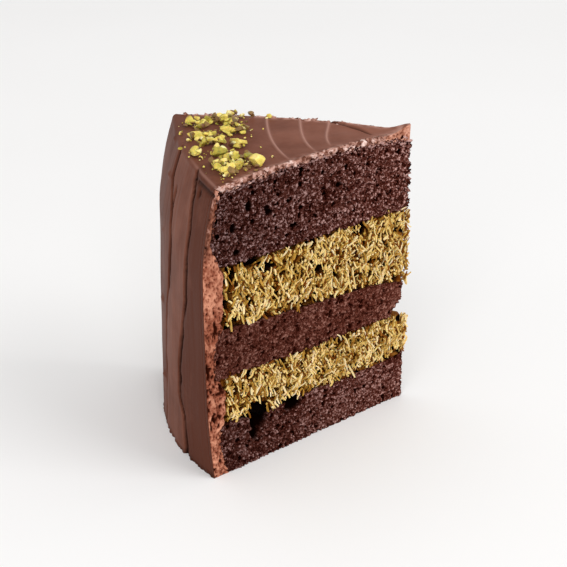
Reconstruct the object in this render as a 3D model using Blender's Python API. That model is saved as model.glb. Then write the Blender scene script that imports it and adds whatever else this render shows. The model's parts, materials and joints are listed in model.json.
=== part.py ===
"""A slice of tall chocolate layer cake.

Three layers of dark sponge hold two fillings of shredded pastry in pistachio cream,
under one coat of chocolate frosting with chopped pistachios along its outer rim.

The slice stands on its underside at z = 0. Its tip points to +X and its frosted outer
wall faces -X. One cut faces -Y and the other faces +Y. The origin lies under the middle
of the slice. Places on the slice are given by their distance out from the tip and their
turn about it, where a turn of 0 is the slice's middle line.
"""

import math
import random

import bmesh
import bpy
import numpy as np
from mathutils import Matrix, Vector, noise

MM = 0.001

# The whole slice
HEIGHT = 120 * MM
CUT_LENGTH = 105.5 * MM
HALF_TURN = math.radians(27)
TIP_X = 51.5 * MM
TIP_HALF_WIDTH = 0.8 * MM
GAP = 0.5 * MM
COAT_GAP = 0.8 * MM

# The outer wall is flatter than a circle about the tip, and leans in to a soft shoulder
WALL_FLAT_BASE = 2.6 * MM
WALL_FLAT_TOP = 7.1 * MM
SHOULDER_FROM = 84 * MM
SHOULDER_INSET = 7.1 * MM
FOOT_TO = 42 * MM
FOOT_INSET = 2.6 * MM
GROOVE_DEPTH = 1.1 * MM

# The top of the frosting
TOP_RISE = 2.0 * MM
TIP_LIP = 3.2 * MM
TIP_OVERHANG = 0.8 * MM
RIM_ROUND = 1.6 * MM
RIDGE_RISE = 0.8 * MM
RIDGES_AT = (34 * MM, 45 * MM, 59 * MM)
RIDGE_HALF_WIDTH = 1.3 * MM
PANEL_STEP = 0.5 * MM

# The cut faces
SPONGE_RELIEF = 0.8 * MM
FILLING_RELIEF = 1.2 * MM
FILLING_SET_BACK = 1.9 * MM
FILLING_BULGE = 1.2 * MM
BLUNT_TIP = 1.2 * MM
TOP_TIP = 0.8 * MM
MIDDLE_TIP = 2 * MM
MIDDLE_TIP_BROKEN = 5 * MM
MIDDLE_BROKEN_BELOW = 47 * MM
MIDDLE_BROKEN_OVER = 6 * MM

# Shreds of pastry in the fillings
SHREDS_PER_CUT = 54
SHRED_WIDTH = 1.15 * MM
SHRED_THICKNESS = 0.75 * MM
SHRED_LENGTHS = (5 * MM, 11 * MM)
SHRED_CLEAR = 1.6 * MM
SHRED_PROUD = (0.3 * MM, 1.5 * MM)

# Where each layer meets the next: distance from the tip against height, in millimetres
LEVELS = {
    "underside": ((0, 100), (0, 0)),
    "lower_filling_floor": ((0, 10, 40, 50, 60, 80, 92), (21, 20, 19.5, 20.5, 20, 19, 22)),
    "lower_filling_roof": ((0, 10, 60, 75, 92), (39, 40, 40.5, 41.5, 42.5)),
    "upper_filling_floor": ((0, 10, 20, 50, 65, 92), (54, 56, 57.5, 59, 60, 62)),
    "upper_filling_roof": ((0, 10, 92), (86.5, 87, 88)),
    "top_of_sponge": ((0, 8, 20, 50, 92), (116, 117, 118.2, 119.6, 117.4)),
}

# The coat of frosting behind the outer wall: height against thickness, in millimetres
COAT = (
    (0, 12, 20, 26, 36, 43, 49, 57, 63, 86, 92, 98, 122),
    (7, 5.6, 6, 8.4, 8.8, 5.4, 4.8, 4.9, 8, 9.6, 6.4, 3.2, 2.6),
)

# The two spatula grooves down the outer wall: height in millimetres against turn in degrees
GROOVE_NEAR = (
    (0, 18, 25, 35, 50, 60, 70, 85, 100, 120),
    (-14.5, -14, -11, -11.5, -13, -14.5, -16.5, -17, -17.5, -14),
)
GROOVE_FAR = ((0, 55, 65, 76, 87, 97, 108, 120), (0.5, 0, -2, -3.3, -4.3, -2.4, 3, 3.5))

# Chopped pistachios: distance from the tip in millimetres, turn in degrees, length and width
# in millimetres, and heading in degrees
NUTS = (
    (89, 17, 5.0, 4.2, 40), (83, 15, 4.2, 3.4, 80), (84, 7, 8.0, 4.0, 84), (79, 5, 4.6, 3.4, 20),
    (77, 17, 3.6, 3.0, 10), (72, 17, 7.0, 5.6, 70), (73, 9, 4.8, 3.4, 120), (80, -1, 7.6, 4.4, 110),
    (72, 3, 4.2, 3.6, 30), (73, -6, 9.4, 5.0, 100), (89, -7, 5.6, 4.4, 50), (84, -2, 4.4, 2.8, 130),
    (81, -10, 6.4, 4.8, 20), (79, -15, 5.0, 3.2, 150), (75, -15, 3.8, 3.6, 60), (87, -16, 3.6, 3.4, 0),
    (81, -21, 5.2, 4.0, 75), (74, -21, 6.8, 5.4, 120), (88, -23, 4.2, 2.8, 95), (67, 22, 3.2, 2.6, 15),
)


def clear_scene():
    """Start from an empty scene."""
    for thing in list(bpy.data.objects):
        bpy.data.objects.remove(thing, do_unlink=True)


def material(name, colour, roughness):
    """A plain finish in the piece's own colour."""
    finish = bpy.data.materials.new(name)
    finish.use_nodes = True
    shader = finish.node_tree.nodes["Principled BSDF"]
    shader.inputs["Base Color"].default_value = (*colour, 1)
    shader.inputs["Roughness"].default_value = roughness
    return finish


def read(curve, at):
    """A value in metres from a curve of millimetres."""
    return float(np.interp(at / MM, *curve)) * MM


def wave(x, y, z, size, seed):
    """Smooth unevenness between -1 and 1, whose bumps are about as wide as size."""
    return noise.noise(Vector((x / size + seed * 7.3, y / size - seed * 3.1, z / size + seed)))


def level(name, out, turn):
    """The height at which two layers meet, a little uneven away from the near cut."""
    height = read(LEVELS[name], out)
    if name == "underside":
        return height
    away = (turn + HALF_TURN) / (2 * HALF_TURN)
    return height + away * 0.9 * MM * wave(out, turn * 0.06, height, 24 * MM, 2)


def wall_radius(turn, height):
    """The distance from the tip's axis to the frosted outer wall, without its grooves."""
    side = min(abs(turn) / HALF_TURN, 1.2) ** 2
    flat = WALL_FLAT_BASE + (WALL_FLAT_TOP - WALL_FLAT_BASE) * height / HEIGHT
    over = min(max((height - SHOULDER_FROM) / (HEIGHT - SHOULDER_FROM), 0), 1)
    under = min(max(1 - height / FOOT_TO, 0), 1)
    return CUT_LENGTH - flat * (1 - side) - SHOULDER_INSET * over**1.8 - FOOT_INSET * side * under**2


def coat_radius(turn, height):
    """The distance from the tip's axis to the inner face of the coat."""
    uneven = 0.4 * MM * wave(turn * 0.1, height, 0, 20 * MM, 5)
    return wall_radius(turn, height) - read(COAT, height) + uneven


def layer_radius(turn, height):
    """How far a layer reaches inside the coat, clear of it also where the coat bends."""
    heights = [height + step * MM for step in (-3.5, -1.8, 0, 1.8, 3.5)]
    return min(coat_radius(turn, max(each, 0)) for each in heights) - COAT_GAP


def half_width(along):
    """Half the slice's width at a distance back from the tip, which is slightly blunt."""
    sharp = along * math.tan(HALF_TURN)
    return 0.5 * (sharp + math.sqrt(sharp * sharp + 4 * TIP_HALF_WIDTH**2))


def place(side, along, height, proud=0.0):
    """A point of the slice. The side runs from -1 at one cut to 1 at the other, and only
    points on a cut are set proud of it."""
    on_cut = 0.0 if abs(side) < 0.999 else math.copysign(1, side)
    x = TIP_X - along + abs(on_cut) * proud * math.sin(HALF_TURN)
    y = side * half_width(along) + on_cut * proud * math.cos(HALF_TURN)
    return Vector((x, y, height))


def turn_of(side):
    """The turn of a ray whose side is given."""
    return math.atan(side * math.tan(HALF_TURN))


def side_of(turn):
    return math.tan(turn) / math.tan(HALF_TURN)


def block(name, sides, alongs, heights, point):
    """A closed block whose surface is a grid. The three lists hold its steps across, along
    and up, and point gives the place of each."""
    mesh = bmesh.new()
    corners = {}

    def corner(i, j, k):
        if (i, j, k) not in corners:
            corners[i, j, k] = mesh.verts.new(point(sides[i], alongs[j], heights[k]))
        return corners[i, j, k]

    last_i, last_j, last_k = len(sides) - 1, len(alongs) - 1, len(heights) - 1

    def quad(first, second, third, fourth):
        mesh.faces.new([corner(*each) for each in (first, second, third, fourth)])

    for j in range(last_j):
        for k in range(last_k):
            for i in (0, last_i):
                quad((i, j, k), (i, j + 1, k), (i, j + 1, k + 1), (i, j, k + 1))
    for i in range(last_i):
        for k in range(last_k):
            for j in (0, last_j):
                quad((i, j, k), (i + 1, j, k), (i + 1, j, k + 1), (i, j, k + 1))
        for j in range(last_j):
            for k in (0, last_k):
                quad((i, j, k), (i + 1, j, k), (i + 1, j + 1, k), (i, j + 1, k))
    bmesh.ops.recalc_face_normals(mesh, faces=mesh.faces)
    return finish_object(name, mesh)


def finish_object(name, mesh):
    """Turn a bmesh into an object of the scene."""
    data = bpy.data.meshes.new(name)
    mesh.to_mesh(data)
    mesh.free()
    thing = bpy.data.objects.new(name, data)
    bpy.context.scene.collection.objects.link(thing)
    return thing


def steps(count):
    return [step / count for step in range(count + 1)]


ACROSS = [side_of(math.radians(turn)) for turn in (-27, -18, -9, 0, 9, 18, 27)]
COMMON_ALONG = [8 * MM + 74 * MM * step / 14 for step in range(15)]
ALONG = ["tip"] + COMMON_ALONG + ["middle", "coat"]


def layer(name, floor, roof, tip, relief, set_back, height_steps, seed, hollows=()):
    """One layer inside the coat, between two levels. Its cut faces have relief, may be set
    back from the cut, and have the hollows given by distance, height, radius and depth.
    The steps along a layer lie above those of the layer below it, from its tip to the coat."""

    def along_at(station, height, turn):
        reach = layer_radius(turn, height) * math.cos(turn)
        named = {"tip": tip(height), "middle": 0.5 * (COMMON_ALONG[-1] + reach), "coat": reach}
        return named.get(station, station)

    def point(side, station, part_up):
        turn = turn_of(side)
        height = level(floor, 50 * MM, turn) * (1 - part_up) + level(roof, 50 * MM, turn) * part_up
        for _ in range(2):
            along = along_at(station, height, turn)
            out = along / math.cos(turn)
            bottom = level(floor, out, turn) + (GAP / 2 if floor != "underside" else 0)
            height = bottom + (level(roof, out, turn) - GAP / 2 - bottom) * part_up
        near_tip = min(max((out + 2 * MM) / (12 * MM), 0.15), 1)
        proud = relief * near_tip * wave(out, 30 * MM * side, height, 6.5 * MM, seed) - set_back * near_tip
        if side < 0:
            for hollow_out, hollow_height, radius, depth in hollows:
                far = math.hypot(out - hollow_out * MM, height - hollow_height * MM) / (radius * MM)
                proud -= depth * MM * max(1 - far * far, 0)
        return place(side, along, height, proud)

    return block(name, ACROSS, ALONG, steps(height_steps), point)


def bottom_tip(height):
    return BLUNT_TIP


def middle_tip(height):
    """The middle sponge's tip is broken away at its foot."""
    broken = min(max((MIDDLE_BROKEN_BELOW - height) / MIDDLE_BROKEN_OVER, 0), 1)
    return MIDDLE_TIP + MIDDLE_TIP_BROKEN * broken


def top_tip(height):
    return TOP_TIP


def make_sponges():
    """The three layers of sponge, whose cut faces are crumbly."""
    crumb = material("chocolate sponge", (0.045, 0.016, 0.012), 0.9)
    bottom = layer(
        "sponge_bottom", "underside", "lower_filling_floor", bottom_tip,
        SPONGE_RELIEF, 0, 4, 11, hollows=((79, 14, 7, 4.5), (63, 18, 6, 2.5)),
    )
    middle = layer(
        "sponge_middle", "lower_filling_roof", "upper_filling_floor", middle_tip,
        SPONGE_RELIEF, 0, 4, 12,
    )
    top = layer(
        "sponge_top", "upper_filling_roof", "top_of_sponge", top_tip,
        SPONGE_RELIEF, 0, 6, 13, hollows=((90, 88, 6, 2.0),),
    )
    for sponge in (bottom, middle, top):
        sponge.data.materials.append(crumb)


def filling_tip(height):
    """Both fillings bulge past the tip of the sponge."""
    return -FILLING_BULGE


def shred(number, start, middle, end, flat):
    """One bent strip of pastry with four sides, from start through middle to end."""
    mesh = bmesh.new()
    rings = []
    for at, ahead in ((start, middle - start), (middle, end - start), (end, end - middle)):
        run = ahead.normalized()
        across = run.cross(flat).normalized() * SHRED_WIDTH / 2
        through = run.cross(across).normalized() * SHRED_THICKNESS / 2
        corners = (across + through, through - across, -across - through, across - through)
        rings.append([mesh.verts.new(at + corner) for corner in corners])
    for first, second in zip(rings, rings[1:]):
        for side in range(4):
            mesh.faces.new((first[side], first[side - 1], second[side - 1], second[side]))
    mesh.faces.new(rings[0])
    mesh.faces.new(rings[-1])
    bmesh.ops.recalc_face_normals(mesh, faces=mesh.faces)
    return finish_object(f"shred_{number}", mesh)


def shreds_on_cut(near_or_far, floor, roof, seed):
    """Shreds that stand out of one cut face of a filling, between the sponges above and below.
    They are spread evenly along the cut, and each leans at random."""
    rng = random.Random(seed)
    turn = near_or_far * HALF_TURN
    outward = Vector((math.sin(HALF_TURN), near_or_far * math.cos(HALF_TURN), 0))
    inwards = Vector((-math.cos(HALF_TURN), near_or_far * math.sin(HALF_TURN), 0))
    made = []
    for number in range(SHREDS_PER_CUT):
        reach = layer_radius(turn, 0.5 * (level(floor, 60 * MM, turn) + level(roof, 60 * MM, turn)))
        out = (reach - 4 * MM) * (number + rng.random()) / SHREDS_PER_CUT + 1 * MM
        low = level(floor, out, turn)
        high = level(roof, out, turn)
        height = low + (high - low) * rng.uniform(0.12, 0.88)
        lean = rng.gauss(0, math.radians(38))
        tilt = rng.uniform(-0.35, 0.35)
        length = rng.uniform(*SHRED_LENGTHS)
        upright = Vector((0, 0, math.cos(lean)))
        run = (upright + inwards * math.sin(lean) + outward * tilt).normalized()
        centre = place(near_or_far, out, height, -FILLING_SET_BACK + rng.uniform(*SHRED_PROUD))
        bow = run.cross(outward) * rng.uniform(-0.12, 0.12) * length
        points = [centre - run * length / 2, centre + bow, centre + run * length / 2]
        beyond = 0
        for each in points:
            reached = math.hypot(each.x - TIP_X, each.y)
            each.z = max(each.z, level(floor, reached, turn) + SHRED_CLEAR)
            each.z = min(each.z, level(roof, reached, turn) - SHRED_CLEAR)
            beyond = max(beyond, reached + SHRED_CLEAR - layer_radius(turn, each.z))
        if beyond == 0 and (points[2] - points[0]).length > 3 * MM:
            made.append(shred(number, *points, outward))
    return made


def keep_main_body(thing):
    """Drop the loose scraps and the inner shells that a union leaves."""
    mesh = bmesh.new()
    mesh.from_mesh(thing.data)
    groups = []
    left = set(mesh.verts)
    while left:
        queue = [left.pop()]
        group = list(queue)
        while queue:
            for edge in queue.pop().link_edges:
                for vert in edge.verts:
                    if vert in left:
                        left.remove(vert)
                        queue.append(vert)
                        group.append(vert)
        groups.append(group)
    groups.sort(key=len)
    for group in groups[:-1]:
        bmesh.ops.delete(mesh, geom=group, context="VERTS")
    mesh.to_mesh(thing.data)
    mesh.free()


def join(base, pieces, operation="UNION", solver="EXACT"):
    """Join pieces to a base, or cut them from it, as one closed body."""
    group = bpy.data.collections.new("pieces of " + base.name)
    for piece in pieces:
        group.objects.link(piece)
    boolean = base.modifiers.new("Join", "BOOLEAN")
    boolean.operation = operation
    boolean.operand_type = "COLLECTION"
    boolean.collection = group
    boolean.solver = solver
    bpy.context.view_layer.update()
    shaped = base.evaluated_get(bpy.context.evaluated_depsgraph_get())
    joined = bpy.data.meshes.new_from_object(shaped)
    base.modifiers.remove(boolean)
    joined.materials.clear()
    base.data = joined
    for piece in pieces:
        bpy.data.objects.remove(piece, do_unlink=True)
    bpy.data.collections.remove(group)
    keep_main_body(base)


def make_fillings():
    """The two fillings of shredded pastry, each one tangled mass set back from the cuts,
    with the shreds that stand out of it."""
    pastry = material("pistachio pastry", (0.42, 0.30, 0.07), 0.6)
    rows = (
        ("filling_lower", "lower_filling", 21, ((79, 22, 7, 4.0), (63, 20, 5, 2.5))),
        ("filling_upper", "upper_filling", 22, ((88, 86, 6, 2.0),)),
    )
    for name, levels, seed, hollows in rows:
        floor = levels + "_floor"
        roof = levels + "_roof"
        core = layer(name, floor, roof, filling_tip, FILLING_RELIEF, FILLING_SET_BACK, 3, seed, hollows)
        shreds = shreds_on_cut(-1, floor, roof, seed) + shreds_on_cut(1, floor, roof, seed + 50)
        join(core, shreds, solver="MANIFOLD")
        core.data.materials.append(pastry)


def groove_turn(groove, height):
    return math.radians(float(np.interp(height / MM, *groove)))


def wall_turns(height):
    """The turns of the wall's columns at one height: some follow the two grooves, and the
    others are spread evenly between them."""
    near = groove_turn(GROOVE_NEAR, height)
    far = groove_turn(GROOVE_FAR, height)
    beside = math.radians(0.7)
    turns = [-HALF_TURN + (near - beside + HALF_TURN) * part for part in steps(3)]
    turns += [near + beside * part for part in (0, 1)]
    turns += [near + beside + (far - near - 2 * beside) * part for part in steps(3)[1:]]
    turns += [far + beside * part for part in (0, 1)]
    turns += [far + beside + (HALF_TURN - far - beside) * part for part in steps(5)[1:]]
    return turns


NEAR_GROOVE_COLUMN = 4
FAR_GROOVE_COLUMN = 9

# Steps of the coat: up its wall, as parts of its height, and along its top, in millimetres
WALL_STEPS_UP = (0, 0.05, 0.12, 0.2, 0.29, 0.38, 0.46, 0.54, 0.62, 0.7, 0.77, 0.83, 0.88, 0.93, 0.97, 1)
TOP_STEPS_OUT = (-0.8, 1, 3, 6, 10, 14, 20, 26.5, 39.5, 52, 66, 74, 82, 90, 96, 98.4)

# Steps up the hollow inside the coat, close together where the coat bends
HOLLOW_STEPS_UP = (
    -0.05, 0.05, 0.1, 0.17, 0.215, 0.26, 0.3, 0.36, 0.41,
    0.475, 0.525, 0.62, 0.72, 0.77, 0.82, 0.87, 0.93, 1,
)


def top_height(out, turn):
    """The top of the frosting, without its ridges: a low swell and a lip at the tip."""
    part = min(max(out / (98 * MM), 0), 1)
    height = HEIGHT + TOP_RISE * math.sin(math.pi * part) - 0.6 * MM * (1 - part)
    height += TIP_LIP * math.exp(-(((out + TIP_OVERHANG) / (7 * MM)) ** 2))
    return height + 0.35 * MM * wave(out, turn * 0.08, 0, 16 * MM, 9)


def make_frosting():
    """The coat: outer wall, soft shoulder and top as one block, with the hollow that the
    layers fill cut out of it, and the chopped pistachios that sit on it."""
    chocolate = material("chocolate frosting", (0.13, 0.055, 0.037), 0.5)
    stations = [station * MM for station in TOP_STEPS_OUT]
    for ridge in RIDGES_AT:
        stations += [ridge - RIDGE_HALF_WIDTH, ridge, ridge + RIDGE_HALF_WIDTH]
    stations = sorted(stations)
    whole = stations[-1] - stations[0]
    parts = [(station - stations[0]) / whole for station in stations]
    ridge_parts = [(ridge - stations[0]) / whole for ridge in RIDGES_AT]
    columns = range(len(wall_turns(0)))

    def point(column, part, up):
        turn = wall_turns(up * HEIGHT)[column]
        side = side_of(turn)
        rim = wall_radius(turn, HEIGHT)
        out = -TIP_OVERHANG + (rim + TIP_OVERHANG) * part
        roof = top_height(out, turn)
        if part in ridge_parts and up == 1:
            roof += RIDGE_RISE * min(max((HALF_TURN * 0.8 + turn) / HALF_TURN, 0.3), 1)
        roof -= RIM_ROUND * max(part - 0.96, 0) / 0.04
        height = roof * up
        reach = wall_radius(turn, min(height, HEIGHT))
        if column in (NEAR_GROOVE_COLUMN, FAR_GROOVE_COLUMN) and 0 < up < 1:
            reach -= GROOVE_DEPTH
        if column > NEAR_GROOVE_COLUMN and up < 1:
            reach -= PANEL_STEP
        reach += 0.3 * MM * wave(turn * 0.1, height * 0.4, 0, 8 * MM, 3)
        along = -TIP_OVERHANG + (reach * math.cos(turn) + TIP_OVERHANG) * part
        return place(side, along, height)

    coat = block("frosting", columns, parts, WALL_STEPS_UP, point)
    join(coat, [make_hollow()], operation="DIFFERENCE")
    join(coat, make_nuts())
    coat.data.materials.append(chocolate)


def make_hollow():
    """The space inside the coat. It runs out past both cuts, the tip and the underside."""
    turns = [math.radians(turn) for turn in (-33, -27, -18, -9, 0, 9, 18, 27, 33)]

    def point(turn, part, up):
        out_to = coat_radius(turn, max(up, 0) * HEIGHT)
        start = Vector((TIP_X + 14 * MM, 10 * MM * math.sin(turn) / math.sin(HALF_TURN), 0))
        end = Vector((TIP_X - out_to * math.cos(turn), out_to * math.sin(turn), 0))
        spot = start.lerp(end, part)
        out = math.hypot(spot.x - TIP_X, spot.y) if spot.x < TIP_X else 0
        inner_turn = min(max(turn, -HALF_TURN), HALF_TURN)
        roof = level("top_of_sponge", out, inner_turn) + GAP
        spot.z = up * roof
        return spot

    return block("hollow", turns, steps(16), HOLLOW_STEPS_UP, point)


def nut(number, out, turn, length, width, heading, rng):
    """A chopped pistachio: a knobbly piece, flat where it was cut."""
    mesh = bmesh.new()
    bmesh.ops.create_icosphere(mesh, subdivisions=1, radius=0.5)
    for vert in mesh.verts:
        vert.co *= 1 + rng.uniform(-0.16, 0.16)
        vert.co.z = min(vert.co.z, rng.uniform(0.24, 0.42))
    turn = math.radians(turn)
    rest = top_height(out * MM, turn) + width * MM * 0.28
    spot = Matrix.Translation((TIP_X - out * MM * math.cos(turn), out * MM * math.sin(turn), rest))
    spin = Matrix.Rotation(math.radians(heading), 4, "Z") @ Matrix.Rotation(rng.uniform(-0.3, 0.3), 4, "X")
    size = Matrix.Diagonal((length * MM, width * MM, width * MM * rng.uniform(0.75, 0.95), 1))
    bmesh.ops.transform(mesh, matrix=spot @ spin @ size, verts=mesh.verts)
    return finish_object(f"nut_{number}", mesh)


def make_nuts():
    rng = random.Random(5)
    return [nut(number, *row, rng) for number, row in enumerate(NUTS)]


def main():
    clear_scene()
    make_sponges()
    make_fillings()
    make_frosting()


main()
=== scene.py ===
# %% [markdown]
# # A slice of chocolate cake with pistachio pastry fillings
#
# This lesson dresses a plain solid model of a cake slice so that it looks like food. The
# solids fix where every layer lies. Each one is replaced by a finer mesh of the same form:
# crumbly sponge, a tangle of pastry shreds, spread frosting and chopped pistachios.
# The slice's tip points to +X, its frosted wall faces -X, and the cut that the camera sees
# faces -Y.

import json
import math
import random

import bmesh
import bpy
import numpy as np
from mathutils import Matrix, Vector, noise

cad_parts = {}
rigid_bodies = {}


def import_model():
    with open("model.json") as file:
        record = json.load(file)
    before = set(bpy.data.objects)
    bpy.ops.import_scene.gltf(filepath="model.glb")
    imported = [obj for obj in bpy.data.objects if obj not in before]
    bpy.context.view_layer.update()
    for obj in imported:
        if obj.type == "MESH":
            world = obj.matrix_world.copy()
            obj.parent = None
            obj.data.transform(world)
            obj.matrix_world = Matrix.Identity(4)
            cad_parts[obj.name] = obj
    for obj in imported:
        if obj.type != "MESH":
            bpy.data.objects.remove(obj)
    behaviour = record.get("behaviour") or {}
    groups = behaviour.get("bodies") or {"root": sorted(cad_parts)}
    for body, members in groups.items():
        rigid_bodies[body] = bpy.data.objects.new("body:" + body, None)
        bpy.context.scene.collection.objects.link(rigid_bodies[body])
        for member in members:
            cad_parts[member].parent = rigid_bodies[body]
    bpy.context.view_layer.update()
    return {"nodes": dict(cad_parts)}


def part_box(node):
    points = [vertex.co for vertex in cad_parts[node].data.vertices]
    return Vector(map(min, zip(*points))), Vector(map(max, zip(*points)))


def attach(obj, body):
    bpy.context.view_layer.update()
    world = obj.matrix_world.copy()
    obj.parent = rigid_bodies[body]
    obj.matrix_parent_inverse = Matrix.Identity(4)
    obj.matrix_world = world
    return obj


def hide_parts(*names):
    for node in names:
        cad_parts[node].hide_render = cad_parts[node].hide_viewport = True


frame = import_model()
MM = 0.001

for node_name in sorted(frame["nodes"]):
    low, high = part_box(node_name)
    print(node_name, [round(side / MM, 1) for side in Vector(high) - Vector(low)], "mm")

# %% [markdown]
# ## The sizes that shape the slice
#
# A slice of a round cake is easiest to describe from its tip: how far out a point lies, how
# far it is turned from the slice's middle line, and how high it is. Everything below uses
# those three numbers, and one function turns them into x, y and z. Keeping the same named
# sizes as the solid model makes every finished piece land where its solid was.

# %% Sizes of the slice
HEIGHT = 120 * MM
CUT_LENGTH = 105.5 * MM
HALF_TURN = math.radians(27)
TIP_HALF_WIDTH = 0.8 * MM
TIP_OVERHANG = 0.8 * MM
TIP_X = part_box("frosting")[1][0] - TIP_OVERHANG

WALL_FLAT_BASE = 2.6 * MM
WALL_FLAT_TOP = 7.1 * MM
SHOULDER_FROM = 84 * MM
SHOULDER_INSET = 7.1 * MM
FOOT_TO = 42 * MM
FOOT_INSET = 2.6 * MM

TOP_RISE = 2.0 * MM
TIP_LIP = 3.2 * MM
RIM_ROUND = 2.2 * MM

# Where each layer meets the next: distance from the tip against height, in millimetres
LEVELS = {
    "underside": ((0, 100), (0, 0)),
    "lower_filling_floor": ((0, 10, 40, 50, 60, 80, 92), (21, 20, 19.5, 20.5, 20, 19, 22)),
    "lower_filling_roof": ((0, 10, 60, 75, 92), (39, 40, 40.5, 41.5, 42.5)),
    "upper_filling_floor": ((0, 10, 20, 50, 65, 92), (54, 56, 57.5, 59, 60, 62)),
    "upper_filling_roof": ((0, 10, 92), (86.5, 87, 88)),
    "top_of_sponge": ((0, 8, 20, 50, 92), (116, 117, 118.2, 119.6, 117.4)),
}
# The coat of frosting behind the outer wall: height against thickness, in millimetres
COAT = (
    (0, 12, 20, 26, 36, 43, 49, 57, 63, 86, 92, 98, 122),
    (7, 5.6, 6, 8.4, 8.8, 5.4, 4.8, 4.9, 8, 9.6, 6.4, 3.2, 2.6),
)
print("tip at x =", round(TIP_X / MM, 1), "mm")

# %% Places on the slice


def curve_at(curve, at):
    """A value in metres from a curve of millimetres."""
    return np.interp(np.asarray(at) / MM, *curve) * MM


def level(name, out):
    return curve_at(LEVELS[name], out)


def wall_radius(turn, height):
    """How far the frosted outer wall lies from the tip's axis."""
    side = np.minimum(np.abs(turn) / HALF_TURN, 1.2) ** 2
    flat = WALL_FLAT_BASE + (WALL_FLAT_TOP - WALL_FLAT_BASE) * height / HEIGHT
    over = np.clip((height - SHOULDER_FROM) / (HEIGHT - SHOULDER_FROM), 0, 1)
    under = np.clip(1 - height / FOOT_TO, 0, 1)
    return CUT_LENGTH - flat * (1 - side) - SHOULDER_INSET * over**1.8 - FOOT_INSET * side * under**2


def coat_radius(turn, height):
    """How far the inner face of the coat lies from the tip's axis."""
    return wall_radius(turn, height) - curve_at(COAT, height)


def half_width(along):
    """Half the slice's width at a distance back from its slightly blunt tip."""
    sharp = along * math.tan(HALF_TURN)
    return 0.5 * (sharp + np.sqrt(sharp * sharp + 4 * TIP_HALF_WIDTH**2))


def place(side, along, height):
    """Points of the slice. The side runs from -1 at the near cut to 1 at the far one."""
    side, along, height = np.broadcast_arrays(side, along, height)
    return np.stack([TIP_X - along, side * half_width(along), height], axis=-1)


def turn_of(side):
    return np.arctan(np.asarray(side) * math.tan(HALF_TURN))


def distance_of(places):
    """How far out from the tip's axis each place lies."""
    return np.hypot(places[:, 0] - TIP_X, places[:, 1])


OUT_OF_CUT = {side: np.array([math.sin(HALF_TURN), side * math.cos(HALF_TURN), 0]) for side in (-1, 1)}
print("the near cut faces", OUT_OF_CUT[-1].round(3))

# %% [markdown]
# Food is nowhere quite even. Smooth noise gives bumps of a chosen width, and a few widths
# added up look natural. Round dents and hollows need one more measure: how many of its own
# radii a point lies from the middle of a spot.

# %% Unevenness and spots


def field(points, size, seed, stretch=(1, 1, 1)):
    """Smooth unevenness between -1 and 1, with bumps about size millimetres wide."""
    spots = np.asarray(points) / (size * MM * np.asarray(stretch)) + seed * 7.31
    return np.array([noise.noise(spot) for spot in spots])


def waves(points, unit, *parts):
    """Fields added up. Each part is a height, a size and a seed, and may have a stretch."""
    return sum(height * unit * field(points, *part) for height, *part in parts)


def radii_from(across, height, middle, spot):
    """How many radii a point lies from a spot: its height and two radii, in millimetres."""
    spot_height, wide, tall = spot
    return np.hypot((across - middle) / (wide * MM), (height - spot_height * MM) / (tall * MM))


def fade_out(distance, reach):
    """A smooth bell, 1 in the middle and nearly 0 from twice its reach."""
    return np.exp(-((distance / reach) ** 2))


def ramp_up(value, start, length):
    """0 until the start, then a straight rise to 1 over a length."""
    return np.clip((value - start) / length, 0, 1)


# %% [markdown]
# ## The camera
#
# The photo was taken with a long lens from a little above the cake. A camera's turn is a
# matrix whose columns say where its right, its up and its back point, so the three angles
# below are read off the photo's edges and turned into those three arrows.

# %% Place the camera
LENS = 89.14
SENSOR_WIDTH = 36
CAMERA_FROM_TIP = Vector((-173.97, -507.38, 299.01)) * MM
CAMERA_YAW = math.radians(-13.486)
CAMERA_PITCH = math.radians(24.731)
CAMERA_ROLL = math.radians(-0.443)


def link_object(name, data):
    """A new object in the scene, for a mesh, a light or a camera."""
    thing = bpy.data.objects.new(name, data)
    bpy.context.scene.collection.objects.link(thing)
    return thing


ahead = Vector((
    -math.sin(CAMERA_YAW) * math.cos(CAMERA_PITCH),
    math.cos(CAMERA_YAW) * math.cos(CAMERA_PITCH),
    -math.sin(CAMERA_PITCH),
))
level_right = Vector((math.cos(CAMERA_YAW), math.sin(CAMERA_YAW), 0))
level_up = level_right.cross(ahead)
right = math.cos(CAMERA_ROLL) * level_right + math.sin(CAMERA_ROLL) * level_up
up = -math.sin(CAMERA_ROLL) * level_right + math.cos(CAMERA_ROLL) * level_up

camera = link_object("camera", bpy.data.cameras.new("camera"))
camera.data.lens = LENS
camera.data.sensor_width = SENSOR_WIDTH
camera.data.clip_start = 0.01
turned = Matrix((right, up, -ahead)).transposed().to_4x4()
camera.matrix_world = Matrix.Translation(CAMERA_FROM_TIP + Vector((TIP_X, 0, 0))) @ turned
bpy.context.scene.camera = camera
print("camera is", round((camera.location - Vector((TIP_X, 0, HEIGHT / 2))).length, 3), "m from the tip")

# %% [markdown]
# ## A pale studio
#
# The photo is high key: a white surface, a bright room, and one large soft light from the
# right that leaves a wide pale shadow on the left. A big area light gives that soft edge. A
# second one beside the camera lights the cut and the floor in front of it, and its shadow
# hides behind the cake. A pale even world fills the rest.

# %% Light and floor
# Each light's name, place, size in metres and watts
LIGHTS = (
    ("key light", (2.40, -1.86, 2.34), 2.2, 53),
    ("fill light", (-1.05, -3.30, 2.25), 3.0, 78),
)
LIGHT_AIM = Vector((0, 0, 0.05))
WORLD_COLOUR = (1.0, 0.995, 0.99, 1)
WORLD_STRENGTH = 0.70
FLOOR_HALF = 4.0

world = bpy.data.worlds.new("bright room")
bpy.context.scene.world = world
world.use_nodes = True
world.node_tree.nodes["Background"].inputs["Color"].default_value = WORLD_COLOUR
world.node_tree.nodes["Background"].inputs["Strength"].default_value = WORLD_STRENGTH
bpy.context.scene.view_settings.view_transform = "Standard"

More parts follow.
